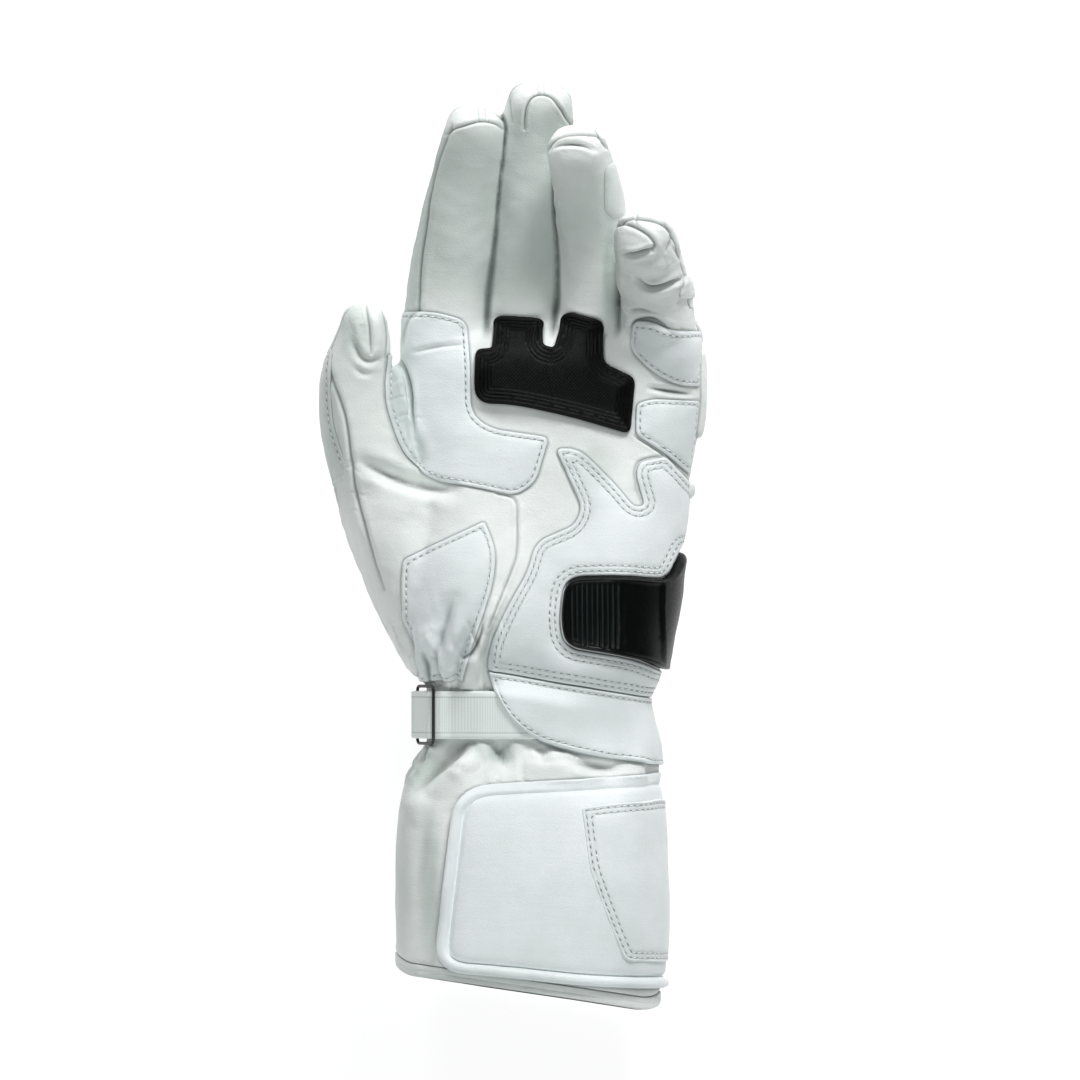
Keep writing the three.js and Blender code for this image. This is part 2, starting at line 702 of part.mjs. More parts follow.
// The whole glove

const FINISH = {
  grip_pad: "rubber",
  heel_slider: "slider",
  wrist_ring: "metal",
  wrist_strap: "textile",
  ring_tab: "textile",
};
const PATCHES = /patch|panel|flap|pad|hem|tab/;

const pieces = {
  ...handPieces(),
  ...cuffPieces(),
  ...Object.assign({}, ...Object.keys(FINGERS).map(fingerPieces)),
  ...patchPieces(),
  ...edgePadPieces(),
  ...strapPieces(),
  ...cuffFlapPieces(),
};

function meshOf(name, solid) {
  const { vertProperties, triVerts } = solid.asOriginal().simplify(FLATNESS).getMesh();
  const geometry = new THREE.BufferGeometry();
  geometry.setAttribute("position", new THREE.BufferAttribute(vertProperties, 3));
  geometry.setIndex(new THREE.BufferAttribute(triVerts, 1));
  geometry.computeVertexNormals();
  const finish = FINISH[name] ?? (PATCHES.test(name) ? "patch" : "leather");
  const mesh = new THREE.Mesh(geometry, new THREE.MeshStandardMaterial(COLOURS[finish]));
  mesh.name = name;
  return mesh;
}

const glove = new THREE.Group();
for (const [name, solid] of Object.entries(pieces)) glove.add(meshOf(name, solid));

// The origin is under the middle of the glove's box, on the surface that it lies on
const box = new THREE.Box3().setFromObject(glove);
const middle = box.getCenter(new THREE.Vector3());
glove.position.set(-middle.x, -middle.y, -box.min.z);

export default glove;
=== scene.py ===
"""Looks of a left-hand leather motorcycle gauntlet that lies on its back with the palm up.

Shapes are worked out in millimetres in the drawing's frame: +X to the little-finger side, +Y to
the fingertips and +Z up out of the palm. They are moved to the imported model's frame at the end.
"""

import math
from contextlib import contextmanager

import bmesh
import bpy
import numpy as np
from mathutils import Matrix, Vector
from mathutils.bvhtree import BVHTree


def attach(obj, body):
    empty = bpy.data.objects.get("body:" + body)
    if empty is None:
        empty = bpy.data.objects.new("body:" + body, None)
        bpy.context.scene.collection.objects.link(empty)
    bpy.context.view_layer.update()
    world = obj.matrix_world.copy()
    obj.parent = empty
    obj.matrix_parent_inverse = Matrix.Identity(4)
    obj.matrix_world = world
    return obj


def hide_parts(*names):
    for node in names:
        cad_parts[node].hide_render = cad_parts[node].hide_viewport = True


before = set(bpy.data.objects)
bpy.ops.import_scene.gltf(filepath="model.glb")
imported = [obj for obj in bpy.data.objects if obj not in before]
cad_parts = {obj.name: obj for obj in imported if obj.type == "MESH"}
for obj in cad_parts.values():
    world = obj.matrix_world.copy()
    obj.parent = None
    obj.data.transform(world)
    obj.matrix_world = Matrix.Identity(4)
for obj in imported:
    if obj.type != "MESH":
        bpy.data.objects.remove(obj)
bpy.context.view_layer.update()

SHIFT = np.array([-0.218, 0.592, 0.0])  # from the drawing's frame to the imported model's
MM = 0.001

VOXEL = 1.3  # of the remesh that joins the lofts
FAR = 200.0  # a height over the glove, from which rays are cast
DOWN = Vector((0, 0, -1))

# The same lines as in the solids
FINGER_CUT = 84.5
CUFF_CUT = -72.6
MOUTH = dict(y=-159.8, slant=-0.146, lean=0.032, lean_from=60.0, hem=4.2)
# The mouth's two lower corners: where each starts along x and how far it reaches, and their rise
CORNERS = dict(right=45.8, right_reach=7.6, left=-35.5, left_reach=6.6, rise=4.6)
STRAP = dict(low=-70.2, high=-52.6, end=15.0)
PARTING = dict(y=[-90, -40, 0, 40, 120], z=[27, 27, 24, 20, 20])
RIBS = dict(first=21.7, pitch=1.72, count=10)  # the slider's ribs, along x
RING_FIELD = (0.9, 6.2)  # depths between which the grip pad has its raised rings


def table(columns, rows):
    """A dict of columns from rows of numbers."""
    return {name: np.array(column, float) for name, column in zip(columns.split(), zip(*rows))}


# Sections of the cuff, wrist and palm, from the mouth to the roots of the fingers
HAND = table("y left right low high", [
    (-176, -42, 53.2, -1.5, 66), (-150, -42, 53.2, -1.5, 65.5), (-126, -42, 53, -1.5, 64),
    (-108, -41.8, 52.4, -1.5, 62), (-97, -41.2, 51.8, -1.3, 60), (-89, -40, 51.2, -0.6, 58),
    (-82, -38.2, 51.2, 0.8, 55.5), (-76, -34.6, 52, 2.2, 52.5), (-70, -30.8, 51.6, 3.2, 50.5),
    (-62, -30.5, 49.2, 3.6, 50), (-54, -30.8, 49.4, 3.2, 50.8), (-50, -31.6, 51, 2.8, 51.4),
    (-46, -36, 53, 2.4, 52.8), (-36, -39.6, 54.8, 1.2, 54), (-24, -41, 57.2, 0, 54),
    (-10, -40.5, 58.8, -1, 53), (4, -40, 61.2, -1.5, 50.5), (18, -39.5, 62.8, -1.5, 48),
    (32, -39.5, 65.2, -1.5, 45.5), (44, -39.5, 67.6, -1.5, 43.5), (56, -39.5, 68.2, -1.2, 42),
    (66, -39.2, 68, -0.4, 40.5), (73, -38.2, 67, 2, 37), (78, -34.5, 63.5, 7, 31.5),
])
HAND_SQUARE = 2.6
HAND_TIP = 3.0

# Swells and hollows of the palm side
PALM_FORMS = table("x y reach_x reach_y height", [
    (-24, -14, 20, 30, 3.5),
    (40, -22, 20, 30, 3.0),
    (6, 4, 16, 30, -3.5),
    (14, 62, 48, 12, 2.2),
    (2, -46, 12, 12, -2.5),
])

# Waves around the hand where the strap gathers the leather
GATHERS = table("y reach waves phase height", [
    (-82, 8, 9, 0.6, 1.5),
    (-45, 5, 8, 2.2, 0.8),
])

FINGER_COLUMNS = "x y z wide thick"
FINGERS = {
    "index": dict(roll=0, tip=9, rows=table(FINGER_COLUMNS, [
        (-24.1, 62, 20, 15, 15), (-23.9, 76, 20.6, 15, 14.8), (-23.4, 90, 22, 14.8, 14),
        (-20.8, 108, 25.5, 14.1, 13), (-17.2, 130, 31, 12.2, 11.8), (-14.5, 144, 36.5, 11, 10.6),
        (-13.5, 149.5, 39, 10.4, 9.7),
    ])),
    "middle": dict(roll=0, tip=9.5, rows=table(FINGER_COLUMNS, [
        (2.1, 62, 20, 12.8, 15), (2.7, 77, 20.3, 12.6, 14.6), (3.4, 92, 21.5, 12.6, 13.8),
        (5.2, 112, 24.5, 12.2, 12.8), (6.8, 134, 29.5, 12.2, 11.8), (9.1, 151, 35.5, 12.5, 10.8),
        (9.9, 158, 38.5, 11.7, 10.2),
    ])),
    "ring": dict(roll=8, tip=9, rows=table(FINGER_COLUMNS, [
        (27, 60, 20, 12.6, 15), (27.6, 76, 21.5, 12.3, 14.4), (28.8, 90, 24.3, 11.6, 13.4),
        (29, 106, 30, 11.6, 12.4), (28, 119.5, 38.5, 11.9, 11.6), (25.6, 132, 49, 11.6, 11),
        (23.2, 140.6, 58, 10.8, 10.2),
    ])),
    "little": dict(roll=22, tip=9, rows=table(FINGER_COLUMNS, [
        (53.6, 48, 21, 13.3, 14.5), (54.2, 62, 24.5, 13, 14), (54, 72, 29, 13, 13.6),
        (53.2, 77.6, 32.2, 12.6, 11.8), (52.2, 84, 36.5, 13, 13.2), (51, 91.5, 42.2, 12.4, 11.2),
        (49.9, 97, 46.6, 12.8, 12.6), (49, 102.4, 52, 12, 10.8), (48.2, 106, 55.6, 11.9, 11.6),
        (47.2, 110.2, 60, 10.8, 10.4),
    ])),
    "thumb": dict(roll=-14, tip=7, rows=table(FINGER_COLUMNS, [
        (-17.5, -40, 25, 19.4, 19.5), (-27, -21, 26, 21, 19.5), (-35.8, -3, 26.5, 20.4, 18.8),
        (-43, 12, 27.2, 19, 18.2), (-46.8, 21.5, 27.8, 17.4, 15.6), (-51, 33, 28.8, 15.8, 15.8),
        (-54.8, 47, 30.5, 14.2, 14), (-56, 61, 32.5, 12.4, 12.4), (-54.2, 73, 35, 10, 10.8),
        (-53.4, 79.5, 36.5, 8.2, 9),
    ])),
}
FINGER_SQUARE = 2.3
WEB = dict(roll=0, tip=3, rows=table(FINGER_COLUMNS, [
    (-38, 16, 24, 9, 15), (-41.5, 34, 23.5, 8, 11.5), (-42.6, 50, 23, 6.4, 9),
    (-42.6, 60, 23, 5, 7),
]))

# Outlines seen from above, with the radius that rounds each corner
OUTLINE = {
    "thumb": [
        (-90, 4, 0), (-66, 10, 0), (-50, 21.5, 8), (-37.5, 31.5, 4), (-42.2, 44, 6),
        (-43.4, 60, 0), (-42.6, 100, 0), (-90, 100, 0),
    ],
    "grip_pad": [
        (-13.8, 50.4, 7), (-13.2, 69.6, 2.5), (-7.4, 70, 1), (-6.2, 82.4, 3.5), (10.8, 81.4, 3.5),
        (11, 71, 1.5), (14.8, 70, 1.5), (19.2, 84.1, 3.5), (32.6, 80.2, 3), (32.6, 65, 3),
        (44, 59.6, 3), (42.2, 39.4, 3), (21, 45.6, 8), (0, 50.2, 8),
    ],
    "index_web_patch": [
        (-41.6, 83.6, 0), (-28, 83.8, 6), (-16.6, 80.4, 4), (-15, 66, 6), (-14.8, 47, 5),
        (-8, 41.6, 5), (13.4, 38.4, 3), (8.5, 22, 4), (1, 17.2, 4), (-14, 20.4, 6),
        (-29, 22.6, 6), (-40.5, 33, 6), (-46.6, 52, 8), (-45.4, 68, 0), (-41.8, 69, 0),
    ],
    "thenar_patch": [
        (-39.4, -5.6, 2), (-10, 8.2, 1.5), (-5.6, -2, 6), (-6.6, -14, 6), (-15.4, -40, 6),
        (-17.8, -49.4, 1), (-33.6, -49.4, 1), (-39.6, -28, 5), (-39.9, -12, 3),
    ],
    "heel_panel": [
        (-8.8, -45.3, 1), (-8, -36, 6), (-1.5, -21.5, 8), (5.5, -10, 6), (8, 0.5, 5),
        (22, 6.6, 3), (25, 13, 4), (20, 24, 6), (15.2, 34.4, 3), (24, 34.4, 6),
        (36, 22.5, 8), (43.5, 13.2, 3), (47.2, 13.8, 2), (44, 25, 3), (45.6, 29.6, 2.2),
        (54.8, 31.4, 1.2), (66, 20, 0), (80, 20, 0), (80, -60.4, 0),
    ],
    "heel_slider": [
        (19, -12.6, 6.5), (38, -12, 10), (55, -13.4, 5), (60.8, -1.2, 1), (80, -1.2, 0),
        (80, -45.4, 0), (54.5, -45.4, 2), (43, -40.4, 8), (19.4, -36.8, 6), (17.4, -28, 5),
    ],
    "little_patch_upper": [
        (42.6, 69, 3), (43, 80, 2.5), (50, 80, 3), (56, 77, 3), (80, 76, 0),
        (80, 56.4, 0), (60, 56.8, 4), (50, 61.8, 5),
    ],
    "little_patch_lower": [
        (44.3, 50.5, 2), (50, 52.2, 3), (80, 51, 0), (80, 15, 0), (64, 24.8, 2),
        (54.4, 32.4, 2), (44.1, 39.2, 2),
    ],
    "wrist_flap": [
        (-8.8, -45.5, 1), (-6.5, -54, 8), (1, -65.5, 12), (14, -73.6, 12), (35, -77.4, 20),
        (58, -80.2, 0), (80, -80.2, 0), (80, -60.6, 0),
    ],
    "cuff_flap": [
        (-20.5, -86.8, 13), (20, -84.4, 20), (44, -83.2, 12), (58, -81.4, 0), (80, -81.4, 0),
        (80, -160.5, 0), (30, -159, 20), (0, -155.6, 10), (-28, -153.4, 12),
    ],
    "cuff_flap_patch": [
        (24.2, -94.8, 1.5), (60, -91, 0), (80, -91, 0), (80, -151.4, 0), (39, -149.6, 3),
        (34, -137, 10), (27, -117, 4),
    ],
    "thumb_side_panel": [
        (-90, 76, 0), (-64.6, 71, 3), (-65.4, 58, 10), (-64.6, 42, 10), (-58, 24, 0), (-90, 12, 0),
    ],
}


# Curves and distances


def spline(values, count):
    """A smooth curve through a column of values, at count even steps."""
    p = np.concatenate([[2 * values[0] - values[1]], values, [2 * values[-1] - values[-2]]])
    t = np.linspace(0, len(values) - 1, count)
    i = np.minimum(t.astype(int), len(values) - 2)
    f = t - i
    a, b, c, d = p[i], p[i + 1], p[i + 2], p[i + 3]
    return 0.5 * (2 * b + (c - a) * f + (2 * a - 5 * b + 4 * c - d) * f**2
                  + (3 * b - a - 3 * c + d) * f**3)


def rounded(rows, steps=8):
    """The closed outline of rows (x, y, round), with its corners rounded."""
    points = np.array(rows, float)[:, :2]
    path = []
    for i, (*_, radius) in enumerate(rows):
        here, before, after = points[i], points[i - 1], points[(i + 1) % len(rows)]
        if radius == 0:
            path.append(here)
            continue
        enter = here + (before - here) * min(0.49, radius / np.linalg.norm(before - here))
        leave = here + (after - here) * min(0.49, radius / np.linalg.norm(after - here))
        for t in np.linspace(0, 1, steps):
            path.append((1 - t) ** 2 * enter + 2 * t * (1 - t) * here + t**2 * leave)
    return np.array(path)


def unit(vectors):
    return vectors / np.maximum(np.linalg.norm(vectors, axis=1), 1e-6)[:, None]


def run_of(points):
    """How far along a line each of its points lies."""
    return np.concatenate([[0], np.cumsum(np.linalg.norm(np.diff(points, axis=0), axis=1))])


def around_path(points, path, margin):
    """Which points lie, seen from above, in the box round a path, widened by a margin."""
    flat = points[:, :2]
    return ((flat > path.min(0) - margin) & (flat < path.max(0) + margin)).all(1)


def to_path(points, path, closed=False):
    """Distance from each point to a path, and where along it, from 0 to 1, its nearest place is."""
    points = np.asarray(points, float)
    ends = np.roll(path, -1, 0) if closed else path[1:]
    starts = path if closed else path[:-1]
    runs = ends - starts
    lengths = np.linalg.norm(runs, axis=1)
    total = max(lengths.sum(), 1e-9)
    before = np.concatenate([[0], np.cumsum(lengths)[:-1]])
    best = np.full(len(points), np.inf)
    where = np.zeros(len(points))
    for start, run, length, passed in zip(starts, runs, lengths, before):
        if length < 1e-9:
            continue
        t = np.clip((points - start) @ run / length**2, 0, 1)
        away = ((points - start - t[:, None] * run) ** 2).sum(1)
        closer = away < best
        best[closer] = away[closer]
        where[closer] = (passed + t[closer] * length) / total
    return np.sqrt(best), where


def inside_outline(points, path):
    """How deep each point lies inside a closed outline; negative outside."""
    depth, _ = to_path(points, path, closed=True)
    x, y = points[:, 0], points[:, 1]
    odd = np.zeros(len(points), bool)
    for (x0, y0), (x1, y1) in zip(path, np.roll(path, -1, 0)):
        if y0 == y1:
            continue
        crosses = (y0 > y) != (y1 > y)
        odd ^= crosses & (x < (x1 - x0) * (y - y0) / (y1 - y0) + x0)
    return np.where(odd, depth, -depth)


def bell(distance, reach):
    """1 where distance is 0, and falling to 0 a few reaches away."""
    return np.exp(-((distance / reach) ** 2))


def fullness(depth, reach):
    """0 at the edge of a panel, and nearer to 1 the deeper inside."""
    return 1 - np.exp(-np.maximum(depth, 0) / reach)


def step(value, low, high):
    """0 below low, 1 above high and smooth between."""
    t = np.clip((value - low) / (high - low), 0, 1)
    return t * t * (3 - 2 * t)


def ripple(points, length, seed, waves=18):
    """Gentle random waves of about that length, between -1 and 1."""
    random = np.random.default_rng(seed)
    turns = random.normal(size=(waves, 3))
    turns *= (2 * np.pi / length) / np.linalg.norm(turns, axis=1)[:, None]
    turns *= random.uniform(0.6, 1.5, size=(waves, 1))
    phases = random.uniform(0, 2 * np.pi, waves)
    total = np.zeros(len(points))
    for turn, phase in zip(turns, phases):
        total += np.sin(points @ turn + phase)
    return total / math.sqrt(waves)


# Meshes


def fetched(items, key, width=1, kind=np.float32):
    """One property of all items of a mesh, as an array."""
    flat = np.empty(len(items) * width, kind)
    items.foreach_get(key, flat)
    values = flat.reshape(-1, width) if width > 1 else flat
    return values.astype(float) if kind is np.float32 else values


def positions(mesh):
    return fetched(mesh.vertices, "co", 3)


def normals(mesh):
    return fetched(mesh.vertex_normals, "vector", 3)


def edge_pairs(mesh):
    return fetched(mesh.edges, "vertices", 2, np.int32)


def face_middles(mesh):
    return fetched(mesh.polygons, "center", 3)


def place(mesh, points):
    mesh.vertices.foreach_set("co", np.asarray(points, np.float32).ravel())
    mesh.update()


def write(mesh, name, values):
    """Keeps a number or a vector for each vertex under a name."""
    vector = np.ndim(values) == 2
    kind = "FLOAT_VECTOR" if vector else "FLOAT"
    attribute = mesh.attributes.get(name) or mesh.attributes.new(name, kind, "POINT")
    flat = np.asarray(values, np.float32).ravel()
    attribute.data.foreach_set("vector" if vector else "value", flat)


def read(mesh, name):
    """What write kept under a name."""
    attribute = mesh.attributes[name]
    if attribute.data_type == "FLOAT_VECTOR":
        return fetched(attribute.data, "vector", 3)
    return fetched(attribute.data, "value")


@contextmanager
def edited(mesh):
    """A bmesh of a mesh, written back to it at the end."""
    bm = bmesh.new()
    bm.from_mesh(mesh)
    yield bm
    bm.to_mesh(mesh)
    bm.free()


def made_mesh(bm, name):
    """A new mesh from a bmesh, which is freed."""
    mesh = bpy.data.meshes.new(name)
    bm.to_mesh(mesh)
    bm.free()
    return mesh


def made_object(name, data):
    thing = bpy.data.objects.new(name, data)
    bpy.context.scene.collection.objects.link(thing)
    return thing


def relaxed(values, pairs, rounds, share=0.5):
    """Values of the vertices, each drawn towards the mean of its neighbours."""
    values = np.array(values, float)
    columns = values.reshape(len(values), -1)
    degree = np.bincount(pairs.ravel(), minlength=len(values))
    degree = np.maximum(degree, 1)
    for _ in range(rounds):
        for k in range(columns.shape[1]):
            column = columns[:, k]
            total = np.bincount(pairs[:, 0], column[pairs[:, 1]], len(values))
            total += np.bincount(pairs[:, 1], column[pairs[:, 0]], len(values))
            columns[:, k] = column + share * (total / degree - column)
    return columns.reshape(values.shape)


def cut(mesh, depth, level=0.0, keep="both", within=None):
    """Cuts a mesh along the line where depth passes level. keep="above" drops what lies below.

    Each vertex stands at the height of its depth while a level plane cuts the mesh. within chooses
    the faces that may be cut.
    """
    write(mesh, "rest", positions(mesh))
    flat = positions(mesh)
    flat[:, 2] = depth
    place(mesh, flat)
    with edited(mesh) as bm:
        if within is None:
            geometry = bm.verts[:] + bm.edges[:] + bm.faces[:]
        else:
            bm.faces.ensure_lookup_table()
            faces = [bm.faces[i] for i in np.flatnonzero(within)]
            edges = dict.fromkeys(e for f in faces for e in f.edges)
            geometry = [*dict.fromkeys(v for f in faces for v in f.verts), *edges, *faces]
        bmesh.ops.bisect_plane(
            bm, geom=geometry, dist=1e-4, plane_co=(0, 0, level), plane_no=(0, 0, 1),
            clear_inner=keep == "above",
        )
    place(mesh, read(mesh, "rest"))


def part_of(mesh, name, chosen):
    """A copy of the chosen faces of a mesh."""
    bm = bmesh.new()
    bm.from_mesh(mesh)
    bm.faces.ensure_lookup_table()
    unwanted = [bm.faces[i] for i in np.flatnonzero(~chosen)]
    bmesh.ops.delete(bm, geom=unwanted, context="FACES")
    return made_mesh(bm, name)


def tube(rings, name):
    """A closed tube over rings of equal length, made from a grid."""
    rings = np.array(rings)
    count, around, _ = rings.shape
    bm = bmesh.new()
    bmesh.ops.create_grid(bm, x_segments=around, y_segments=count - 1, size=1)
    bm.verts.index_update()
    flat = np.array([v.co[:2] for v in bm.verts]) / 2 + 0.5
    across = np.rint(flat[:, 0] * around).astype(int) % around
    along = np.rint(flat[:, 1] * (count - 1)).astype(int)
    for v, p in zip(bm.verts, rings[along, across]):
        v.co = p
    bmesh.ops.remove_doubles(bm, verts=bm.verts, dist=1e-3)
    bmesh.ops.holes_fill(bm, edges=[e for e in bm.edges if e.is_boundary])
    bmesh.ops.recalc_face_normals(bm, faces=bm.faces)
    return made_mesh(bm, name)


def joined(meshes, name):
    """One mesh with the faces of several."""
    bm = bmesh.new()
    for mesh in meshes:
        bm.from_mesh(mesh)
    return made_mesh(bm, name)


def modified(mesh, kind, **settings):
    """The mesh that a modifier makes of a mesh."""
    work = made_object("work", mesh)
    modifier = work.modifiers.new("work", kind)
    for key, value in settings.items():
        setattr(modifier, key, value)
    graph = bpy.context.evaluated_depsgraph_get()
    made = bpy.data.meshes.new_from_object(work.evaluated_get(graph))
    bpy.data.objects.remove(work)
    return made


# The form that the leather lies on


def superellipse(around, square):
    """Even angles round a ring, and its two coordinates; square over 2 makes it boxier."""
    angle = np.arange(around) / around * 2 * np.pi
    bulge = lambda v: np.sign(v) * np.abs(v) ** (2 / square)
    return angle, bulge(np.cos(angle)), bulge(np.sin(angle))


def hand_rings(around=200, steps=260, dome=10):
    """Rings from the cuff's mouth to the roots of the fingers, closed by a dome of rings."""
    rows = np.stack([spline(column, steps) for column in HAND.values()], 1)
    angle, u, v = superellipse(around, HAND_SQUARE)
    rings = []
    for i in range(steps + dome):
        turn = max(0, i - steps + 1) / dome * np.pi / 2
        y, left, right, low, high = rows[min(i, steps - 1)]
        shrink = math.cos(turn)
        wave = sum(
            h * bell(y - at, reach) * np.cos(n * angle + phase)
            for at, reach, n, phase, h in zip(*GATHERS.values())
        )
        x = (left + right) / 2 + u * ((right - left) / 2 + wave) * shrink
        z = (low + high) / 2 + v * ((high - low) / 2 + wave) * shrink
        swell = sum(
            h * bell(x - at_x, reach_x) * bell(y - at_y, reach_y)
            for at_x, at_y, reach_x, reach_y, h in zip(*PALM_FORMS.values())
        )
        z = np.maximum(z + swell * np.maximum(0, np.sin(angle)), 0)
        rings.append(np.stack([x, np.full(around, y + HAND_TIP * math.sin(turn)), z], 1))
    return rings


class Digit:
    """A finger: rings along a smooth centre line, with the frame of each ring.

    roll turns it about that line, in degrees, and tip is the length of its rounded end.
    """

    ROUND_END = 2.2  # 2 makes the end an ellipse, and more makes it blunter
    OUT_END = 9.0  # as far out beyond the last ring as the surface is to the side

    def __init__(self, roll, tip, rows, steps=90, dome=14, around=72):
        x, y, z, wide, thick = (spline(column, steps) for column in rows.values())
        centre = np.stack([x, y, z], 1)
        along = unit(np.gradient(centre, axis=0))
        side = unit(np.cross(along, [0, 0, 1]))
        up = np.cross(side, along)
        turn = math.radians(-roll)
        side, up = (
            side * math.cos(turn) - up * math.sin(turn),
            up * math.cos(turn) + side * math.sin(turn),
        )
        ends = np.sin(np.arange(1, dome + 1) / dome * np.pi / 2)
        shrink = (1 - ends**self.ROUND_END) ** (1 / self.ROUND_END)
        last = lambda a: np.repeat(a[-1:], dome, 0)
        self.centre = np.concatenate([centre, centre[-1] + along[-1] * (tip * ends)[:, None]])
        self.side = np.concatenate([side, last(side)])
        self.up = np.concatenate([up, last(up)])
        self.along = np.concatenate([along, last(along)])
        self.wide = np.concatenate([wide, wide[-1] * shrink])
        self.thick = np.concatenate([thick, thick[-1] * shrink])
        self.run = run_of(self.centre)
        self.around = around
        self.body = steps

    def rings(self):
        _, u, v = superellipse(self.around, FINGER_SQUARE)
        return [
            c + np.outer(u * w, s) + np.outer(v * t, p)
            for c, s, p, w, t in zip(self.centre, self.side, self.up, self.wide, self.thick)
        ]

    def seen_from(self, points):
        """How far each point lies to the side of the centre line, up from it, and out.

        Out is 1 on the finger's own surface.
        """
        centre = self.centre[:self.body]
        nearest = np.empty(len(points), int)
        chunk = 20000  # points at a time, to save memory
        for start in range(0, len(points), chunk):
            away = ((points[start:start + chunk, None] - centre[None]) ** 2).sum(2)
            nearest[start:start + chunk] = away.argmin(1)
        offset = points - centre[nearest]
        along = self.run[nearest] + (offset * self.along[nearest]).sum(1)
        side = (offset * self.side[nearest]).sum(1)
        up = (offset * self.up[nearest]).sum(1)
        beyond = np.maximum(0, along - self.run[self.body - 1]) / self.OUT_END
        out = np.sqrt(
            (side / self.wide[nearest]) ** 2 + (up / self.thick[nearest]) ** 2 + beyond**2
        )
        return side, up, out


DIGITS = {name: Digit(**facts) for name, facts in FINGERS.items()}
lofts = [tube(hand_rings(), "hand")]
lofts += [tube(digit.rings(), name) for name, digit in DIGITS.items()]
lofts.append(tube(Digit(**WEB).rings(), "web"))
skin = modified(joined(lofts, "lofts"), "REMESH", mode="VOXEL", voxel_size=VOXEL)
place(skin, relaxed(positions(skin), edge_pairs(skin), 8))


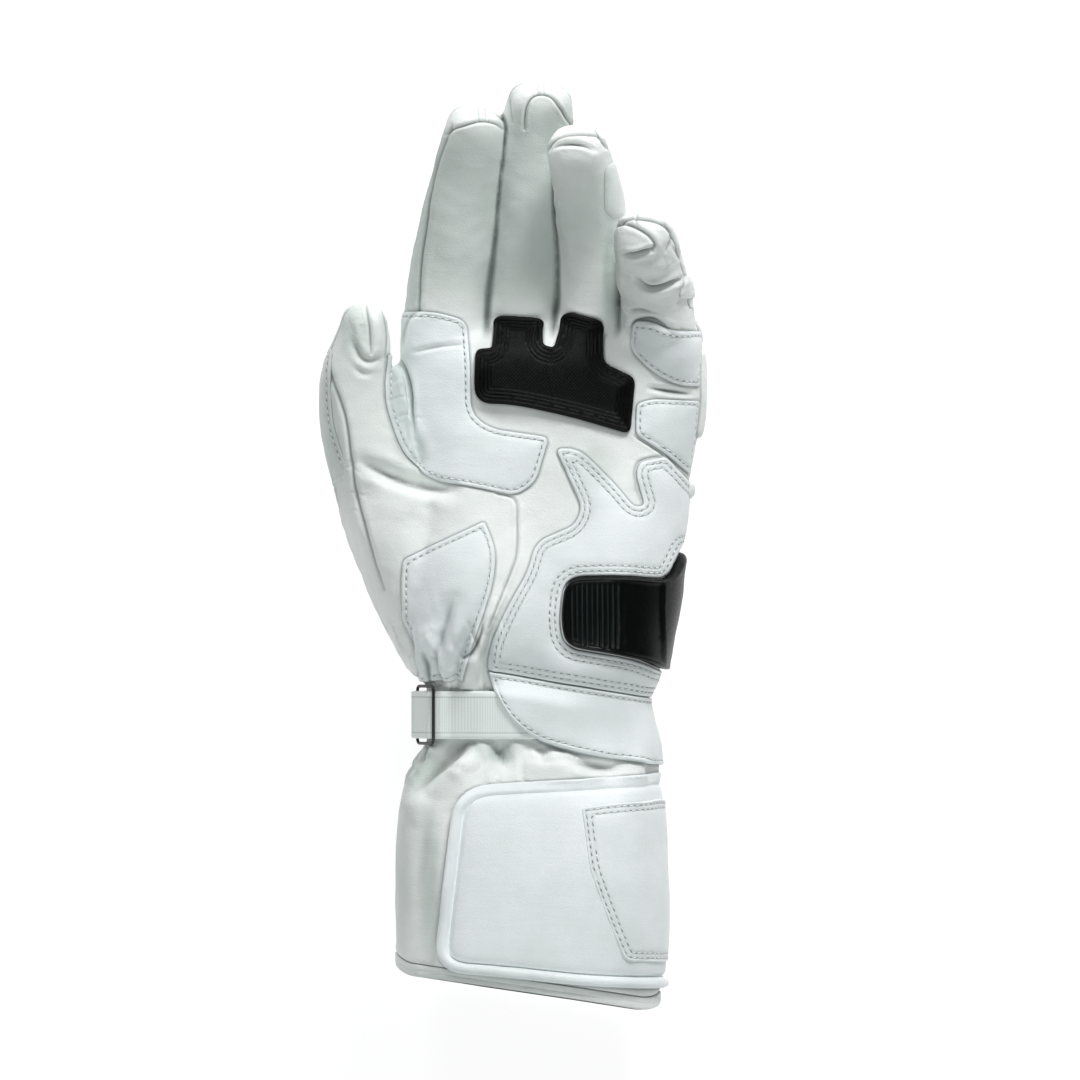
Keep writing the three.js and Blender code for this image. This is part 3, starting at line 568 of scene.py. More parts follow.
# Folds that shape the leather on the palm side: how wide and deep each one is, and the line that
# it follows seen from above. A negative depth is a ridge.
FOLDS = [
    # The root of the thumb
    (2.3, 2.7, [(-54.5, 29.4), (-47, 26), (-39, 22.9), (-31, 20.6), (-22, 19)]),
    (4.4, -0.8, [(-53.1, 20.9), (-40.5, 14.6), (-20.1, 12.8)]),
    # Above the strap
    (2.2, 2.6, [(-21.1, -20.2), (-24.7, -30.2), (-27.2, -40), (-26.1, -51.1)]),
    (1.8, 2.5, [(-14.6, -30.1), (-18.2, -38.2), (-20.7, -45.4), (-20, -52.6)]),
    (1.6, 2.3, [(-6.7, -28.1), (-9.2, -40), (-10.6, -52.6)]),
    (1.8, 2.2, [(-38.1, -29), (-34.9, -42), (-31.1, -51)]),
    (1.2, 1.5, [(-10.6, -27.8), (-11.2, -31.8), (-14.1, -38.2), (-18, -41.4)]),
    (1.1, 1.2, [(-31.5, -38.5), (-30.1, -44), (-29.4, -51)]),
    (2.2, -2.0, [(-4.9, -18.7), (-11.7, -34.6), (-15.3, -49.7)]),
    (1.7, -1.7, [(-29.8, -31.7), (-26.6, -40.7), (-22.6, -48.1)]),
    (1.6, -1.2, [(-34.2, -36.5), (-32.4, -44), (-30.5, -52)]),
    # A fold whose dark line is painted shadow in the gap of the ring
    (1.0, 1.4, [(-31.2, -74), (-31.2, -61), (-31.2, -48)]),
    # Below the strap
    (2.8, 3.4, [(-16.2, -71.7), (-21.4, -75.8), (-27.3, -79.8), (-34.7, -88.4)]),
    (2.6, 3.0, [(-6.5, -71.3), (-4.4, -74.5), (-2.3, -79.1)]),
    (2.2, 2.2, [(23, -77.4), (29.5, -79.2), (37, -80.4)]),
    (2.0, 1.4, [(9.5, -72.3), (12, -78.5)]),
    (4.5, -2.2, [(-21.8, -84.7), (-15.3, -77.5), (-11.7, -75.3)]),
    (4.5, -2.0, [(2.5, -78.4), (12.1, -78.6), (22.3, -80.1)]),
    (3.6, 1.6, [(-38.5, -73.5), (-33.5, -78), (-37.5, -84)]),
    (1.1, 1.0, [(-27.3, -71.6), (-30.5, -73.8), (-33.6, -78.2)]),
    (5.0, -1.4, [(-31.5, -90.2), (-36.2, -101)]),
    (4.0, 1.1, [(-28.6, -92.2), (-31.9, -110.2), (-34, -128.2)]),
    # The root of the index finger and the web to the thumb
    (0.9, 0.7, [(-35.1, 69.1), (-26.1, 70.9), (-16, 71.6)]),
    (1.1, 0.7, [(-32.4, 84.6), (-36, 82), (-37.8, 77.5), (-38.4, 71)]),
    (0.6, 0.15, [(-45.9, 57.6), (-41.5, 59), (-37.6, 58.6)]),
    (0.5, 0.2, [(-45.5, 51), (-41.1, 52.6), (-34, 52.3)]),
    (0.7, 0.2, [(-44.2, 44), (-39.6, 46.2), (-31.2, 45.1)]),
    (0.9, 1.2, [(-41.2, 69.5), (-38.5, 64.4), (-36, 55.8), (-35.4, 47), (-34.6, 40)]),
    (2.0, 1.3, [(-37.2, 44.3), (-35.8, 38), (-33.2, 31.6)]),
    # The ring finger's bent tip, the little finger and the thumb's tip
    (0.9, 1.4, [(14.2, 141.5), (17.1, 142.9), (21.1, 143.3), (25.7, 142.6), (29.3, 140.8)], "ring"),
    (0.9, 2.1, [(39.1, 103.3), (44.5, 103.7), (50.9, 105.8)], "little"),
    (0.9, 2.5, [(43.7, 94.8), (48.8, 91.8), (54.5, 92.3), (61.2, 95.4)], "little"),
    (0.8, 0.8, [(41.6, 83.9), (45.9, 83.9), (50.2, 83.2)], "little"),
    (1.1, 1.6, [(41.9, 77), (43.7, 79.9), (49.5, 80.6), (53.8, 78.8), (57.1, 76.3)]),
    (1.0, 0.7, [(57.4, 106.6), (61.7, 101.5)], "little"),
    (1.6, -0.7, [(42.5, 99.5), (48.5, 98.5), (55.5, 99.5)], "little"),
    (1.4, 0.9, [(-57, 72), (-54.5, 67.2), (-51.3, 65.6), (-47.3, 66.9)]),
    (1.2, 0.5, [(-56.8, 63.4), (-53.4, 61.2), (-50.4, 61.4)]),
    (1.5, -0.5, [(-56.5, 80.5), (-55.4, 75), (-54.2, 69.5)]),
    (1.3, -0.7, [(-49.1, 83.5), (-48.1, 75.2), (-48.1, 68.4)]),
    # Soft hollows of the palm
    (5.0, 0.5, [(-21.8, 51.8), (-4.5, 45.4), (17.1, 37.4)]),
    (5.0, 0.5, [(31.5, 26.6), (27.9, 8.6), (17.1, -5.8)]),
    (1.0, 1.3, [(48.8, 56.2), (56, 55.1), (63.9, 54)]),
]

# Sewn lines within one piece of the main leather
SEWN = [
    # The caps of the fingertips
    (0.55, 0.75, [(-23.6, 147.2), (-21.5, 148.8), (-16.7, 150.3), (-12.5, 151.5), (-9, 151.6),
                  (-5.6, 150.8), (-3.4, 149)], "index"),
    (0.5, 0.8, [(4.2, 149), (4.3, 153.5), (5.1, 157.4), (7, 160.2), (10.2, 161.3), (14, 160.3),
                (16.6, 157.2), (19.2, 153.1), (21.8, 149.5)], "middle"),
    (0.6, 0.35, [(-1.2, 163), (-0.9, 157), (-0.2, 151.5)], "middle"),
    (0.65, 1.0, [(12.8, 147.6), (16.4, 150.1), (21.1, 151.2), (25.7, 150.8), (29.7, 148.7),
                 (33.3, 141.8)], "ring"),
    (0.7, 1.0, [(36.2, 113.4), (39.4, 114.5), (43.7, 113.4), (48.4, 110.5), (50.9, 107.3),
                (50.2, 104.8)], "little"),
    (0.7, 0.6, [(54.6, 114.6), (56.5, 111.5), (56.6, 108.4), (55.2, 105.2)], "little"),
    (0.5, 0.85, [(-52.4, 86), (-51.3, 78.8), (-50.9, 73.4), (-50.6, 68.4)]),
    (0.5, 0.5, [(-46.4, 85), (-45.7, 79), (-45.4, 73), (-45.9, 67)]),
    # Seams along the fingers
    (0.75, 0.7, [(-21.8, 150.1), (-27.5, 134.3), (-30.4, 118.4), (-32.9, 102.6), (-33.7, 87.5),
                 (-34.4, 79.9)]),
    (0.4, 0.5, [(-12.3, 157.2), (-12.1, 152)]),
    (0.4, 0.5, [(-9.7, 157.2), (-9.4, 152)]),
    (0.4, 0.5, [(8.8, 166.2), (9, 161.6)]),
    (0.4, 0.5, [(11.3, 166.2), (11.4, 161.6)]),
    (0.4, 0.5, [(44.6, 118.3), (44.3, 114.4)]),
    # Beside the little finger's lower patch and the heel panel
    (0.45, 0.5, [(43.6, 38.9), (48.6, 35.8), (53.9, 32.2)]),
    (0.45, 0.5, [(53.8, 31.7), (49.1, 30.9), (45.2, 29.4), (43.8, 25), (44.7, 19), (46.6, 13.6)]),
    # The thumb's side and the seam from the web to the wrist
    (0.8, 0.65, [(-67.1, 65.5), (-65.3, 60.5), (-60.3, 46.1), (-58.1, 31.3), (-55.6, 16.2),
                (-50.9, -1.8), (-46.3, -16.6)]),
    (0.5, 0.6, [(-5.6, 18.1), (-1.3, 17.3), (1.3, 14.8), (1.8, 8.6), (1.6, -2.9),
                (-0.5, -10.1), (-3.4, -17.3), (-8.5, -30)]),
]


def smooth_line(points, steps=8):
    """A smooth curve through a few points seen from above."""
    points = np.array(points, float)
    count = (len(points) - 1) * steps + 1
    return np.stack([spline(points[:, 0], count), spline(points[:, 1], count)], 1)


def along_lines(lines, points, reach):
    """For each line: its width, its depth, the points near it, how far off they are and its fade.

    reach is in widths of the line. A line that names a finger keeps to it.
    """
    for width, depth, line, *finger in lines:
        path = smooth_line(line)
        near = np.flatnonzero(around_path(points, path, reach * width))
        fade = 1.0
        if finger and len(near):
            which, _, lead = on_fingers(points[near])
            own = which == FINGER_NAMES.index(finger[0])
            near, fade = near[own], step(lead[own], 0, 0.15)
        if len(near):
            away, where = to_path(points[near, :2], path)
            yield width, depth, near, away, fade * np.sin(np.pi * np.clip(where, 0.02, 0.98))


def folded(points, facing_up):
    """What the folds add to the leather's height, and how dark the painted shade at their bottoms
    is.
    """
    height, dark = np.zeros(len(points)), np.zeros(len(points))
    palm_side = step(facing_up, -0.1, 0.25)
    for width, depth, near, away, middle in along_lines(FOLDS, points, reach=4):
        shape = bell(away, width) - 0.35 * bell(away - 2 * width, width)
        height[near] -= depth * middle**0.5 * shape * palm_side[near]
        if depth > 0:
            strength = min(0.9, 0.65 * depth) if width < 1.5 else 0.16 * min(depth, 3.0)
            shade = strength * bell(away, 0.5 * width) * middle**0.5 * palm_side[near]
            dark[near] = np.maximum(dark[near], shade)
    return height, dark


def sewn(points, facing_up):
    """What the sewn lines add to the leather's height, and how dark the painted shade in them is.
    """
    height, dark = np.zeros(len(points)), np.zeros(len(points))
    palm_side = step(facing_up, -0.2, 0.1)
    for width, depth, near, away, middle in along_lines(SEWN, points, reach=6):
        strength = middle**0.2 * palm_side[near]
        shape = 0.3 * bell(away - 2.4 * width, 1.5 * width) - bell(away, width)
        height[near] += depth * strength * shape
        shade = min(0.8, depth) * bell(away, 0.7 * width) * strength
        dark[near] = np.maximum(dark[near], shade)
    return height, dark


# The main leather: one skin, cut along the seams between its pieces

THUMB = rounded(OUTLINE["thumb"])
FINGER_NAMES = ["index", "middle", "ring", "little"]
NO_SEAM = 5.0  # added to a seam's distance where the seam has ended


def above_mouth(p, distance=0.0):
    """How far a point lies beyond that distance inside the mouth."""
    tilt = MOUTH["lean"] * (p[:, 2] - MOUTH["lean_from"])
    right = (p[:, 0] - CORNERS["right"]) / CORNERS["right_reach"]
    left = (CORNERS["left"] - p[:, 0]) / CORNERS["left_reach"]
    corner = np.clip(np.maximum(right, left), 0, 1)
    rise = CORNERS["rise"] * (1 - np.sqrt(1 - corner**2))
    return p[:, 1] - tilt - rise - MOUTH["y"] - MOUTH["slant"] * p[:, 0] - distance


def above_parting(p):
    """Height above the parting between palm and back, which rises to meet the thumb's seam."""
    rise = 4.4 * step(-p[:, 0], 0, 20) * bell(p[:, 1] - 12, 17)
    return p[:, 2] - rise - np.interp(p[:, 1], PARTING["y"], PARTING["z"])


def on_fingers(p):
    """The finger nearest to each point, the height over its centre line, and its lead.

    The lead is how much nearer it is than the next finger.
    """
    _, up, out = (np.stack(facts) for facts in zip(*(
        DIGITS[name].seen_from(p) for name in FINGER_NAMES)))
    which = out.argmin(0)
    ranked = np.sort(out, axis=0)
    return which, up[which, np.arange(len(p))], ranked[1] - ranked[0]


def up_thumb(p):
    """Height above the thumb's centre line."""
    return DIGITS["thumb"].seen_from(p)[1]


def regions(p):
    """Which points lie on the thumb, on the fingers and on the hand between wrist and fingers."""
    thumb = np.zeros(len(p), bool)
    high = p[:, 1] > 0
    thumb[high] = inside_outline(p[high, :2], THUMB) > 0
    fingers = (p[:, 1] > FINGER_CUT) & ~thumb
    hand = (p[:, 1] > CUFF_CUT) & (p[:, 1] < FINGER_CUT) & ~thumb
    return thumb, fingers, hand


def seam_distance(p):
    """Distance from each point to the nearest sewn boundary between two pieces."""
    away = np.abs(above_mouth(p, MOUTH["hem"])) + 0.3
    thumb, fingers, hand = regions(p)
    high = np.flatnonzero(p[:, 1] > 0)
    outline = np.abs(inside_outline(p[high, :2], THUMB)) + NO_SEAM * (1 - step(p[high, 1], 28, 34))
    away[high] = np.minimum(away[high], outline)
    away[thumb] = np.minimum(away[thumb], np.abs(up_thumb(p[thumb])))
    parting = np.abs(above_parting(p[hand])) + NO_SEAM * (1 - step(p[hand, 1], -50, -42))
    away[hand] = np.minimum(away[hand], parting)
    away[fingers] = np.minimum(away[fingers], np.abs(on_fingers(p[fingers])[1]))
    return away


def piece_names(p):
    """The name of the piece that each point of the main leather belongs to."""
    names = np.where(above_parting(p) > 0, "palm_leather", "back_leather").astype(object)
    names[p[:, 1] < CUFF_CUT] = "cuff_leather"
    names[above_mouth(p, MOUTH["hem"]) < 0] = "cuff_hem"
    thumb, fingers, _ = regions(p)
    names[thumb] = np.where(up_thumb(p[thumb]) > 0, "thumb_front", "thumb_back")
    which, up, _ = on_fingers(p[fingers])
    ends = np.where(up > 0, "_front", "_back").astype(object)
    names[fingers] = np.array(FINGER_NAMES, object)[which] + ends
    return names


def refine(mesh, reach):
    """Divides the faces near seams, and near narrow folds and panels on the palm side."""
    p = positions(mesh)
    near = seam_distance(p) < reach
    palm_side = np.zeros(len(p), bool)
    for outline in OUTLINE.values():
        path = rounded(outline)
        chosen = np.flatnonzero(around_path(p, path, 2) & (p[:, 2] > 12))
        palm_side[chosen[to_path(p[chosen, :2], path, closed=True)[0] < 0.5 * reach]] = True
    narrow = [line for line in FOLDS + SEWN if line[0] < 2]
    for width, _, chosen, away, _ in along_lines(narrow, p, reach=6):
        palm_side[chosen[away < max(reach, 1.5 * width)]] = True
    near |= palm_side & (normals(mesh)[:, 2] > -0.2)
    with edited(mesh) as bm:
        edges = [e for e in bm.edges if near[e.verts[0].index] or near[e.verts[1].index]]
        bmesh.ops.subdivide_edges(bm, edges=edges, cuts=1, use_grid_fill=True)
    place(mesh, relaxed(positions(mesh), edge_pairs(mesh), 2))


def cut_into_pieces(mesh):
    """Adds edges to the skin along the lines between its pieces."""
    cut(mesh, above_mouth(positions(mesh)), keep="above")
    cut(mesh, above_mouth(positions(mesh), MOUTH["hem"]))
    cut(mesh, positions(mesh)[:, 1], CUFF_CUT)
    cut(mesh, inside_outline(positions(mesh)[:, :2], THUMB), within=face_middles(mesh)[:, 1] > 0)
    cut(mesh, positions(mesh)[:, 1], FINGER_CUT)
    cut(mesh, up_thumb(positions(mesh)), within=regions(face_middles(mesh))[0])
    cut(mesh, on_fingers(positions(mesh))[1], within=regions(face_middles(mesh))[1])
    cut(mesh, above_parting(positions(mesh)), within=regions(face_middles(mesh))[2])


def settled(points, out, pairs, rounds):
    """Points drawn level with their neighbours, moving only out and in."""
    for _ in range(rounds):
        moved = relaxed(points, pairs, 1) - points
        points = points + out * (moved * out).sum(1)[:, None]
    return points


def wrinkles(points, length, seed):
    """Thin random creases: 0 on the leather, towards 1 at their bottoms."""
    return np.clip(1 - 1.9 * np.abs(ripple(points, length, seed)), 0, 1) ** 1.5


def soft_height(p, facing_up):
    """What creases and dents add to the leather's height, and how dark the painted shade in its
    folds is.
    """
    height, dark = folded(p, facing_up)
    x, y = p[:, 0], p[:, 1]
    height += 0.2 * ripple(p, 26, 3) + 0.07 * ripple(p, 9, 4)
    palm_side = step(facing_up, -0.4, 0.3)
    above_strap = bell(y + 36, 20) * (1 - step(x, -12, 2)) * palm_side
    below_strap = bell(y + 80, 9) * (1 - step(x, 24, 40))
    wrist_back = bell(y + 60, 14) * (1 - palm_side)
    bent_finger = bell(y - 90, 16) * step(x, 36, 42)
    thumb_root = bell(y - 20, 16) * (1 - step(x, -30, -10))
    for share, depth, stretch, length, seed in (
        (above_strap, 1.0, (1, 0.32, 1), 11, 5),
        (below_strap, 0.9, (1, 0.5, 1), 13, 6),
        (wrist_back, 0.9, (1, 0.3, 1), 9, 7),
        (bent_finger, 0.35, (0.45, 1, 0.6), 6, 8),
        (thumb_root, 0.3, (0.4, 1, 0.5), 8, 9),
        (1.0, 0.12, (1, 1, 1), 15, 10),
    ):
        height -= depth * share * wrinkles(p * stretch, length, seed)
    return height, dark


def beside_panels(p, facing_up):
    """A thin line of painted shadow on the leather round the panels that lie on it."""
    dark = np.zeros(len(p))
    for name, outline in OUTLINE.items():
        if name in ("thumb", "thumb_side_panel", "cuff_flap_patch", "heel_slider"):
            continue
        path = rounded(outline)
        near = np.flatnonzero(around_path(p, path, 3) & (facing_up > -0.2))
        outside = -inside_outline(p[near, :2], path)
        line = 0.44 * bell(np.maximum(outside, 0), 0.7) * (outside > -0.8)
        dark[near] = np.maximum(dark[near], line)
    return dark


def seam_height(p, facing_up):
    """What the seams add to the leather's height, and how dark the painted shade in them is."""
    height, dark = sewn(p, facing_up)
    # A groove between two soft ridges, darkened with painted shade
    away = seam_distance(p)
    height += 0.25 * bell(away - 2.1, 1.1) - 0.95 * bell(away, 0.7)
    dark = np.maximum(dark, 0.68 * bell(away, 0.45))
    # The line where two fingers touch, softer low between them, darkened with painted shade
    fingers = np.flatnonzero((p[:, 1] > 62) & ~regions(p)[0])
    _, _, lead = on_fingers(p[fingers])
    low = 1 - step(p[fingers, 1], 92, 120)
    between = bell(lead, 0.1 + 0.06 * low) * step(p[fingers, 1], 72, 80)
    height[fingers] -= 0.8 * between
    dark[fingers] = np.maximum(dark[fingers], 0.88 * between)
    dark = np.maximum(dark, beside_panels(p, facing_up))
    return height, dark


# Spots of painted shade on the leather, seen from above
SHADE_SPOTS = table("x y reach_x reach_y amount", [
    (-40, 52, 5.5, 22, 1.0), (-34.4, 33, 4, 7, 1.0), (60, 41, 14, 12, 0.45),
    (-2.2, 143, 4.2, 24, 0.7), (31, 29, 8, 8, 0.6), (-57, 78, 6, 11, 1.1),
    (-39.8, 76, 3, 10, 1.0), (-68, 38, 9, 30, 1.0), (-35, -79.5, 9, 9, 1.5),
    (-6, -74, 9, 4.5, 1.2), (-40, -118, 3.5, 36, 0.7), (-29.5, -124, 4, 36, 0.9),
    (-42, -163, 42, 13, 1.0), (35.3, 98, 3.2, 17, 1.5), (-40, -92, 8, 10, 0.7),
])

# Where the painted shade along each finger ends, along y, and how much of it there is
FINGER_SHADE = table("tip share", [(159, 1.0), (168, 1.0), (150, 0.5), (120, 0.3)])


def painted_shade_amount(p):
    """How much painted shade the leather gets: most along the fingers, least at their tips."""
    which, _, _ = on_fingers(p)
    tip, share = (column[which] for column in FINGER_SHADE.values())
    shade_amount = share * step(p[:, 1], 72, 106) * (1 - step(p[:, 1], tip - 18, tip - 4))
    index = np.flatnonzero((which == 0) & (p[:, 1] > 84))
    side, _, _ = DIGITS["index"].seen_from(p[index])
    shade_amount[index] += 1.05 * step(-side, 7.5, 12) * (1 - step(p[index, 1], 140, 152))
    thumb = regions(p)[0]
    shade_amount[thumb] = 0.35 * step(p[thumb, 1], 6, 36)
    for x, y, reach_x, reach_y, amount in zip(*SHADE_SPOTS.values()):
        away = ((p[:, 0] - x) / reach_x) ** 2 + ((p[:, 1] - y) / reach_y) ** 2
        shade_amount = np.maximum(shade_amount, amount * np.exp(-(away**1.5)))
    return shade_amount


for reach in ((3.2, 1.5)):
    refine(skin, reach)
write(skin, "out", relaxed(normals(skin), edge_pairs(skin), 14))
cut_into_pieces(skin)
# The skin keeps out, its smoothed way out; base, its form before the creases; bed, its form with
# the creases and without the seams; three kinds of painted shade, for its folds, for its folds and
# seams together, and for spots and fingers; and shade, its normals, for its looks
out = unit(read(skin, "out"))
base = settled(positions(skin), out, edge_pairs(skin), 3)
write(skin, "out", out)
write(skin, "base", base)
soft, soft_dark = soft_height(base, out[:, 2])
seams, seam_dark = seam_height(base, out[:, 2])
write(skin, "bed", base + out * soft[:, None])
# Painted shade in the folds, and in the folds, creases and seams together
write(skin, "fold_shade", soft_dark)
write(skin, "painted_hollow_shade", np.maximum(soft_dark, seam_dark))
# Painted shade on spots and along the fingers, mixed into the leather's uneven tone
write(skin, "tone_and_shade", painted_shade_amount(base))
place(skin, base + out * (soft + seams)[:, None])
write(skin, "shade", normals(skin))


# Finishes


def linear(r, g, b):
    """A colour given as it shows on the screen, 0 to 255."""
    f = lambda c: c / 12.92 if c <= 0.04045 else ((c + 0.055) / 1.055) ** 2.4
    return tuple(f(c / 255) for c in (r, g, b)) + (1.0,)


class Nodes:
    """Builds a node tree, one node a call."""

    def __init__(self, tree):
        self.tree = tree

    def feed(self, node, inputs):
        """Links or sets each of a node's inputs."""
        for key, value in dict(inputs).items():
            if isinstance(value, bpy.types.NodeSocket):
                self.tree.links.new(value, node.inputs[key])
            else:
                node.inputs[key].default_value = value
        return node

    def add(self, kind, inputs=(), **settings):
        node = self.tree.nodes.new(kind)
        for key, value in settings.items():
            setattr(node, key, value)
        return self.feed(node, inputs)

    def math(self, operation, a, b=None):
        inputs = {0: a} if b is None else {0: a, 1: b}
        return self.add("ShaderNodeMath", inputs, operation=operation).outputs[0]

    def ramp(self, value, low, high, out_low=0.0, out_high=1.0):
        inputs = {"Value": value, "From Min": low, "From Max": high,
                  "To Min": out_low, "To Max": out_high}
        return self.add("ShaderNodeMapRange", inputs).outputs["Result"]

    def mix(self, share, a, b):
        """Sockets 0, 6 and 7 of a colour mix are its factor and its two colours."""
        return self.add("ShaderNodeMix", {0: share, 6: a, 7: b}, data_type="RGBA").outputs[2]

    def attribute(self, name):
        return self.add("ShaderNodeAttribute", attribute_name=name).outputs["Fac"]

    def place(self):
        return self.add("ShaderNodeTexCoord").outputs["Object"]

    def place_axes(self):
        return self.add("ShaderNodeSeparateXYZ", {0: self.place()}).outputs

    def noise(self, scale, detail=4.0, vector=None):
        inputs = {"Vector": vector or self.place(), "Scale": scale, "Detail": detail}
        return self.add("ShaderNodeTexNoise", inputs).outputs["Fac"]

    def waves(self, coordinate, pitch):
        """Even waves along one coordinate, between -1 and 1."""
        return self.math("SINE", self.math("MULTIPLY", coordinate, 2 * math.pi / pitch))


class Finish(Nodes):
    """A material in the making, round its Principled shader."""

    def __init__(self, name):
        self.material = bpy.data.materials.new(name)
        self.material.use_nodes = True
        super().__init__(self.material.node_tree)
        self.shader = self.tree.nodes["Principled BSDF"]

    def finished(self, inputs, height, strength, distance):
        """Sets the shader's inputs and bumps the surface by a height, over a distance in metres."""
        bumps = self.add("ShaderNodeBump", {"Height": height, "Strength": strength,
                                            "Distance": distance})
        self.feed(self.shader, {**inputs, "Normal": bumps.outputs["Normal"]})
        return self.material


def hide_group():
    """Shared look of leather: the height of its grain, its uneven tone and the painted shade of its
    creases.
    """
    group = bpy.data.node_groups.new("hide", "ShaderNodeTree")
    for output in ("Grain", "Tone", "CreaseShade"):
        group.interface.new_socket(output, in_out="OUTPUT", socket_type="NodeSocketFloat")
    n = Nodes(group)
    spot = n.place()
    stir = n.add("ShaderNodeTexNoise", {"Vector": spot, "Scale": 300.0}).outputs["Color"]
    shift = n.add("ShaderNodeVectorMath", {0: stir, 3: 0.0011}, operation="SCALE").outputs[0]
    bent = n.add("ShaderNodeVectorMath", {0: spot, 1: shift}, operation="ADD").outputs[0]
    cells = n.add("ShaderNodeTexVoronoi", {"Vector": bent, "Scale": 1250.0},
                  feature="DISTANCE_TO_EDGE").outputs["Distance"]
    pebbles = n.ramp(cells, 0.0, 0.22)
    fine = n.noise(2600.0, 3.0, spot)
    pulled = n.add("ShaderNodeMapping", {"Vector": bent, "Scale": (70.0, 360.0, 150.0)}).outputs[0]
    lines = n.add("ShaderNodeTexNoise", {"Vector": pulled, "Scale": 1.0, "Detail": 5.0,
                                         "Roughness": 0.62}).outputs["Fac"]
    grain = n.math("ADD", n.math("MULTIPLY", pebbles, 0.3), n.math("MULTIPLY", fine, 0.25))
    grain = n.math("ADD", grain, n.math("MULTIPLY", lines, 1.1))
    tone_and_shade = n.noise(38.0, 4.0, spot)
    crease_shade = n.ramp(n.attribute("painted_hollow_shade"), 0.05, 0.95)
    n.add("NodeGroupOutput", {"Grain": grain, "Tone": tone_and_shade, "CreaseShade": crease_shade})
    return group


HIDE_LOOK = hide_group()


def leather(name, bright, shaded, crease_shade_colour, roughness, bump):
    """White leather: bright and shaded mix by uneven tone and painted shade, and painted shade
    makes creases darker and duller.
    """
    n = Finish(name)
    hide = n.add("ShaderNodeGroup", node_tree=HIDE_LOOK)
    uneven = n.ramp(hide.outputs["Tone"], 0.35, 0.65, 0.0, 0.26)
    tone_and_shade = n.math("ADD", uneven, n.math("MULTIPLY", n.attribute("tone_and_shade"), 0.75))
    colour = n.mix(tone_and_shade, bright, shaded)
    colour = n.mix(hide.outputs["CreaseShade"], colour, crease_shade_colour)
    rough = n.ramp(hide.outputs["Grain"], 0.4, 1.3, roughness + 0.08, roughness - 0.07)
    return n.finished({
        "Base Color": colour, "Roughness": rough, "Specular IOR Level": 0.42, "Sheen Weight": 0.06,
    }, height=hide.outputs["Grain"], strength=bump, distance=0.0004)


# Each leather: a lit colour, a shaded one, and a darker one for the painted shade in creases
MAIN_LEATHER = leather("white_leather", linear(242, 246, 244), linear(199, 208, 204),
                       linear(82, 93, 89), roughness=0.5, bump=0.46)
PATCH_LEATHER = leather("patch_leather", linear(240, 245, 247), linear(190, 200, 198),
                        linear(92, 103, 101), roughness=0.46, bump=0.4)
LINING = leather("lining", linear(176, 179, 176), linear(160, 163, 160), linear(90, 94, 92),
                 roughness=0.85, bump=0.6)


def plain(name, colour, roughness, metallic=0.0, specular=0.5, grain=700.0):
    """One colour, a little uneven in tone, roughness and height."""
    n = Finish(name)
    noise = n.noise(grain)
    darker = tuple(c * 0.75 for c in colour[:3]) + (1.0,)
    return n.finished({
        "Base Color": n.mix(noise, darker, colour),
        "Roughness": n.ramp(noise, 0.3, 0.7, roughness - 0.05, roughness + 0.07),
        "Metallic": metallic, "Specular IOR Level": specular,
    }, height=noise, strength=0.15, distance=0.0002)


def grip_rubber():
    """Black rubber: a fine raised mesh inside the moulded rings."""
    n = Finish("grip_rubber")
    axes = n.place_axes()
    dots = n.math("MULTIPLY", n.waves(axes["X"], 0.0013), n.waves(axes["Y"], 0.0013))
    inside = n.ramp(n.attribute("edge"), RING_FIELD[1], RING_FIELD[1] + 0.6)
    dots = n.math("MULTIPLY", n.ramp(dots, 0.1, 0.7), inside)
    noise = n.noise(900.0)
    height = n.math("ADD", dots, n.math("MULTIPLY", noise, 0.25))
    return n.finished({
        "Base Color": n.mix(dots, linear(4, 5, 5), linear(25, 27, 26)),
        "Roughness": n.ramp(noise, 0.3, 0.7, 0.5, 0.62), "Specular IOR Level": 0.16,
    }, height, strength=0.8, distance=0.00035)


def slider_plastic():
    """Black plastic with a painted highlight: paler on the crests of the ribs at the palm end."""
    n = Finish("slider_plastic")
    crest_highlight = n.ramp(n.attribute("crest_highlight"), 0.3, 1.0)
    noise = n.noise(900.0)
    return n.finished({
        "Base Color": n.mix(crest_highlight, linear(3, 5, 5), linear(33, 42, 40)),
        "Roughness": n.ramp(noise, 0.3, 0.7, 0.34, 0.44), "Specular IOR Level": 0.2,
    }, height=noise, strength=0.2, distance=0.0003)


def webbing():
    """Ribbed elastic with plain borders: fine ribs stand across the strap's length."""
    n = Finish("strap_fabric")
    axes = n.place_axes()
    length = n.math("ADD", axes["X"], n.math("MULTIPLY", axes["Z"], -0.6))
    off_middle = n.math("ABSOLUTE", n.math("ADD", axes["Y"], 0.0608))  # from y = -0.0608
    border = n.ramp(off_middle, 0.0062, 0.0066)
    ribbing = n.math("MAXIMUM", n.ramp(n.waves(length, 0.00085), -1.0, 1.0), border)
    # A dark line of painted shade along each border, where a groove would lie
    off_groove = n.math("ABSOLUTE", n.math("SUBTRACT", off_middle, 0.0064))
    groove = n.ramp(off_groove, 0.0, 0.0004, 0.5, 0.0)
    threads = n.ramp(n.waves(axes["Y"], 0.0005), -1.0, 1.0)
    height = n.math("ADD", ribbing, n.math("MULTIPLY", threads, 0.3))
    height = n.math("ADD", height, n.math("MULTIPLY", n.noise(1500.0), 0.5))
    # Painted shade: darker low between the ribs, paler on them
    colour = n.mix(n.ramp(height, 0.2, 1.4), linear(224, 231, 229), linear(236, 242, 240))
    colour = n.mix(groove, colour, linear(150, 160, 157))
    return n.finished({
        "Base Color": colour, "Roughness": 0.72, "Specular IOR Level": 0.3,
    }, height, strength=0.22, distance=0.00025)


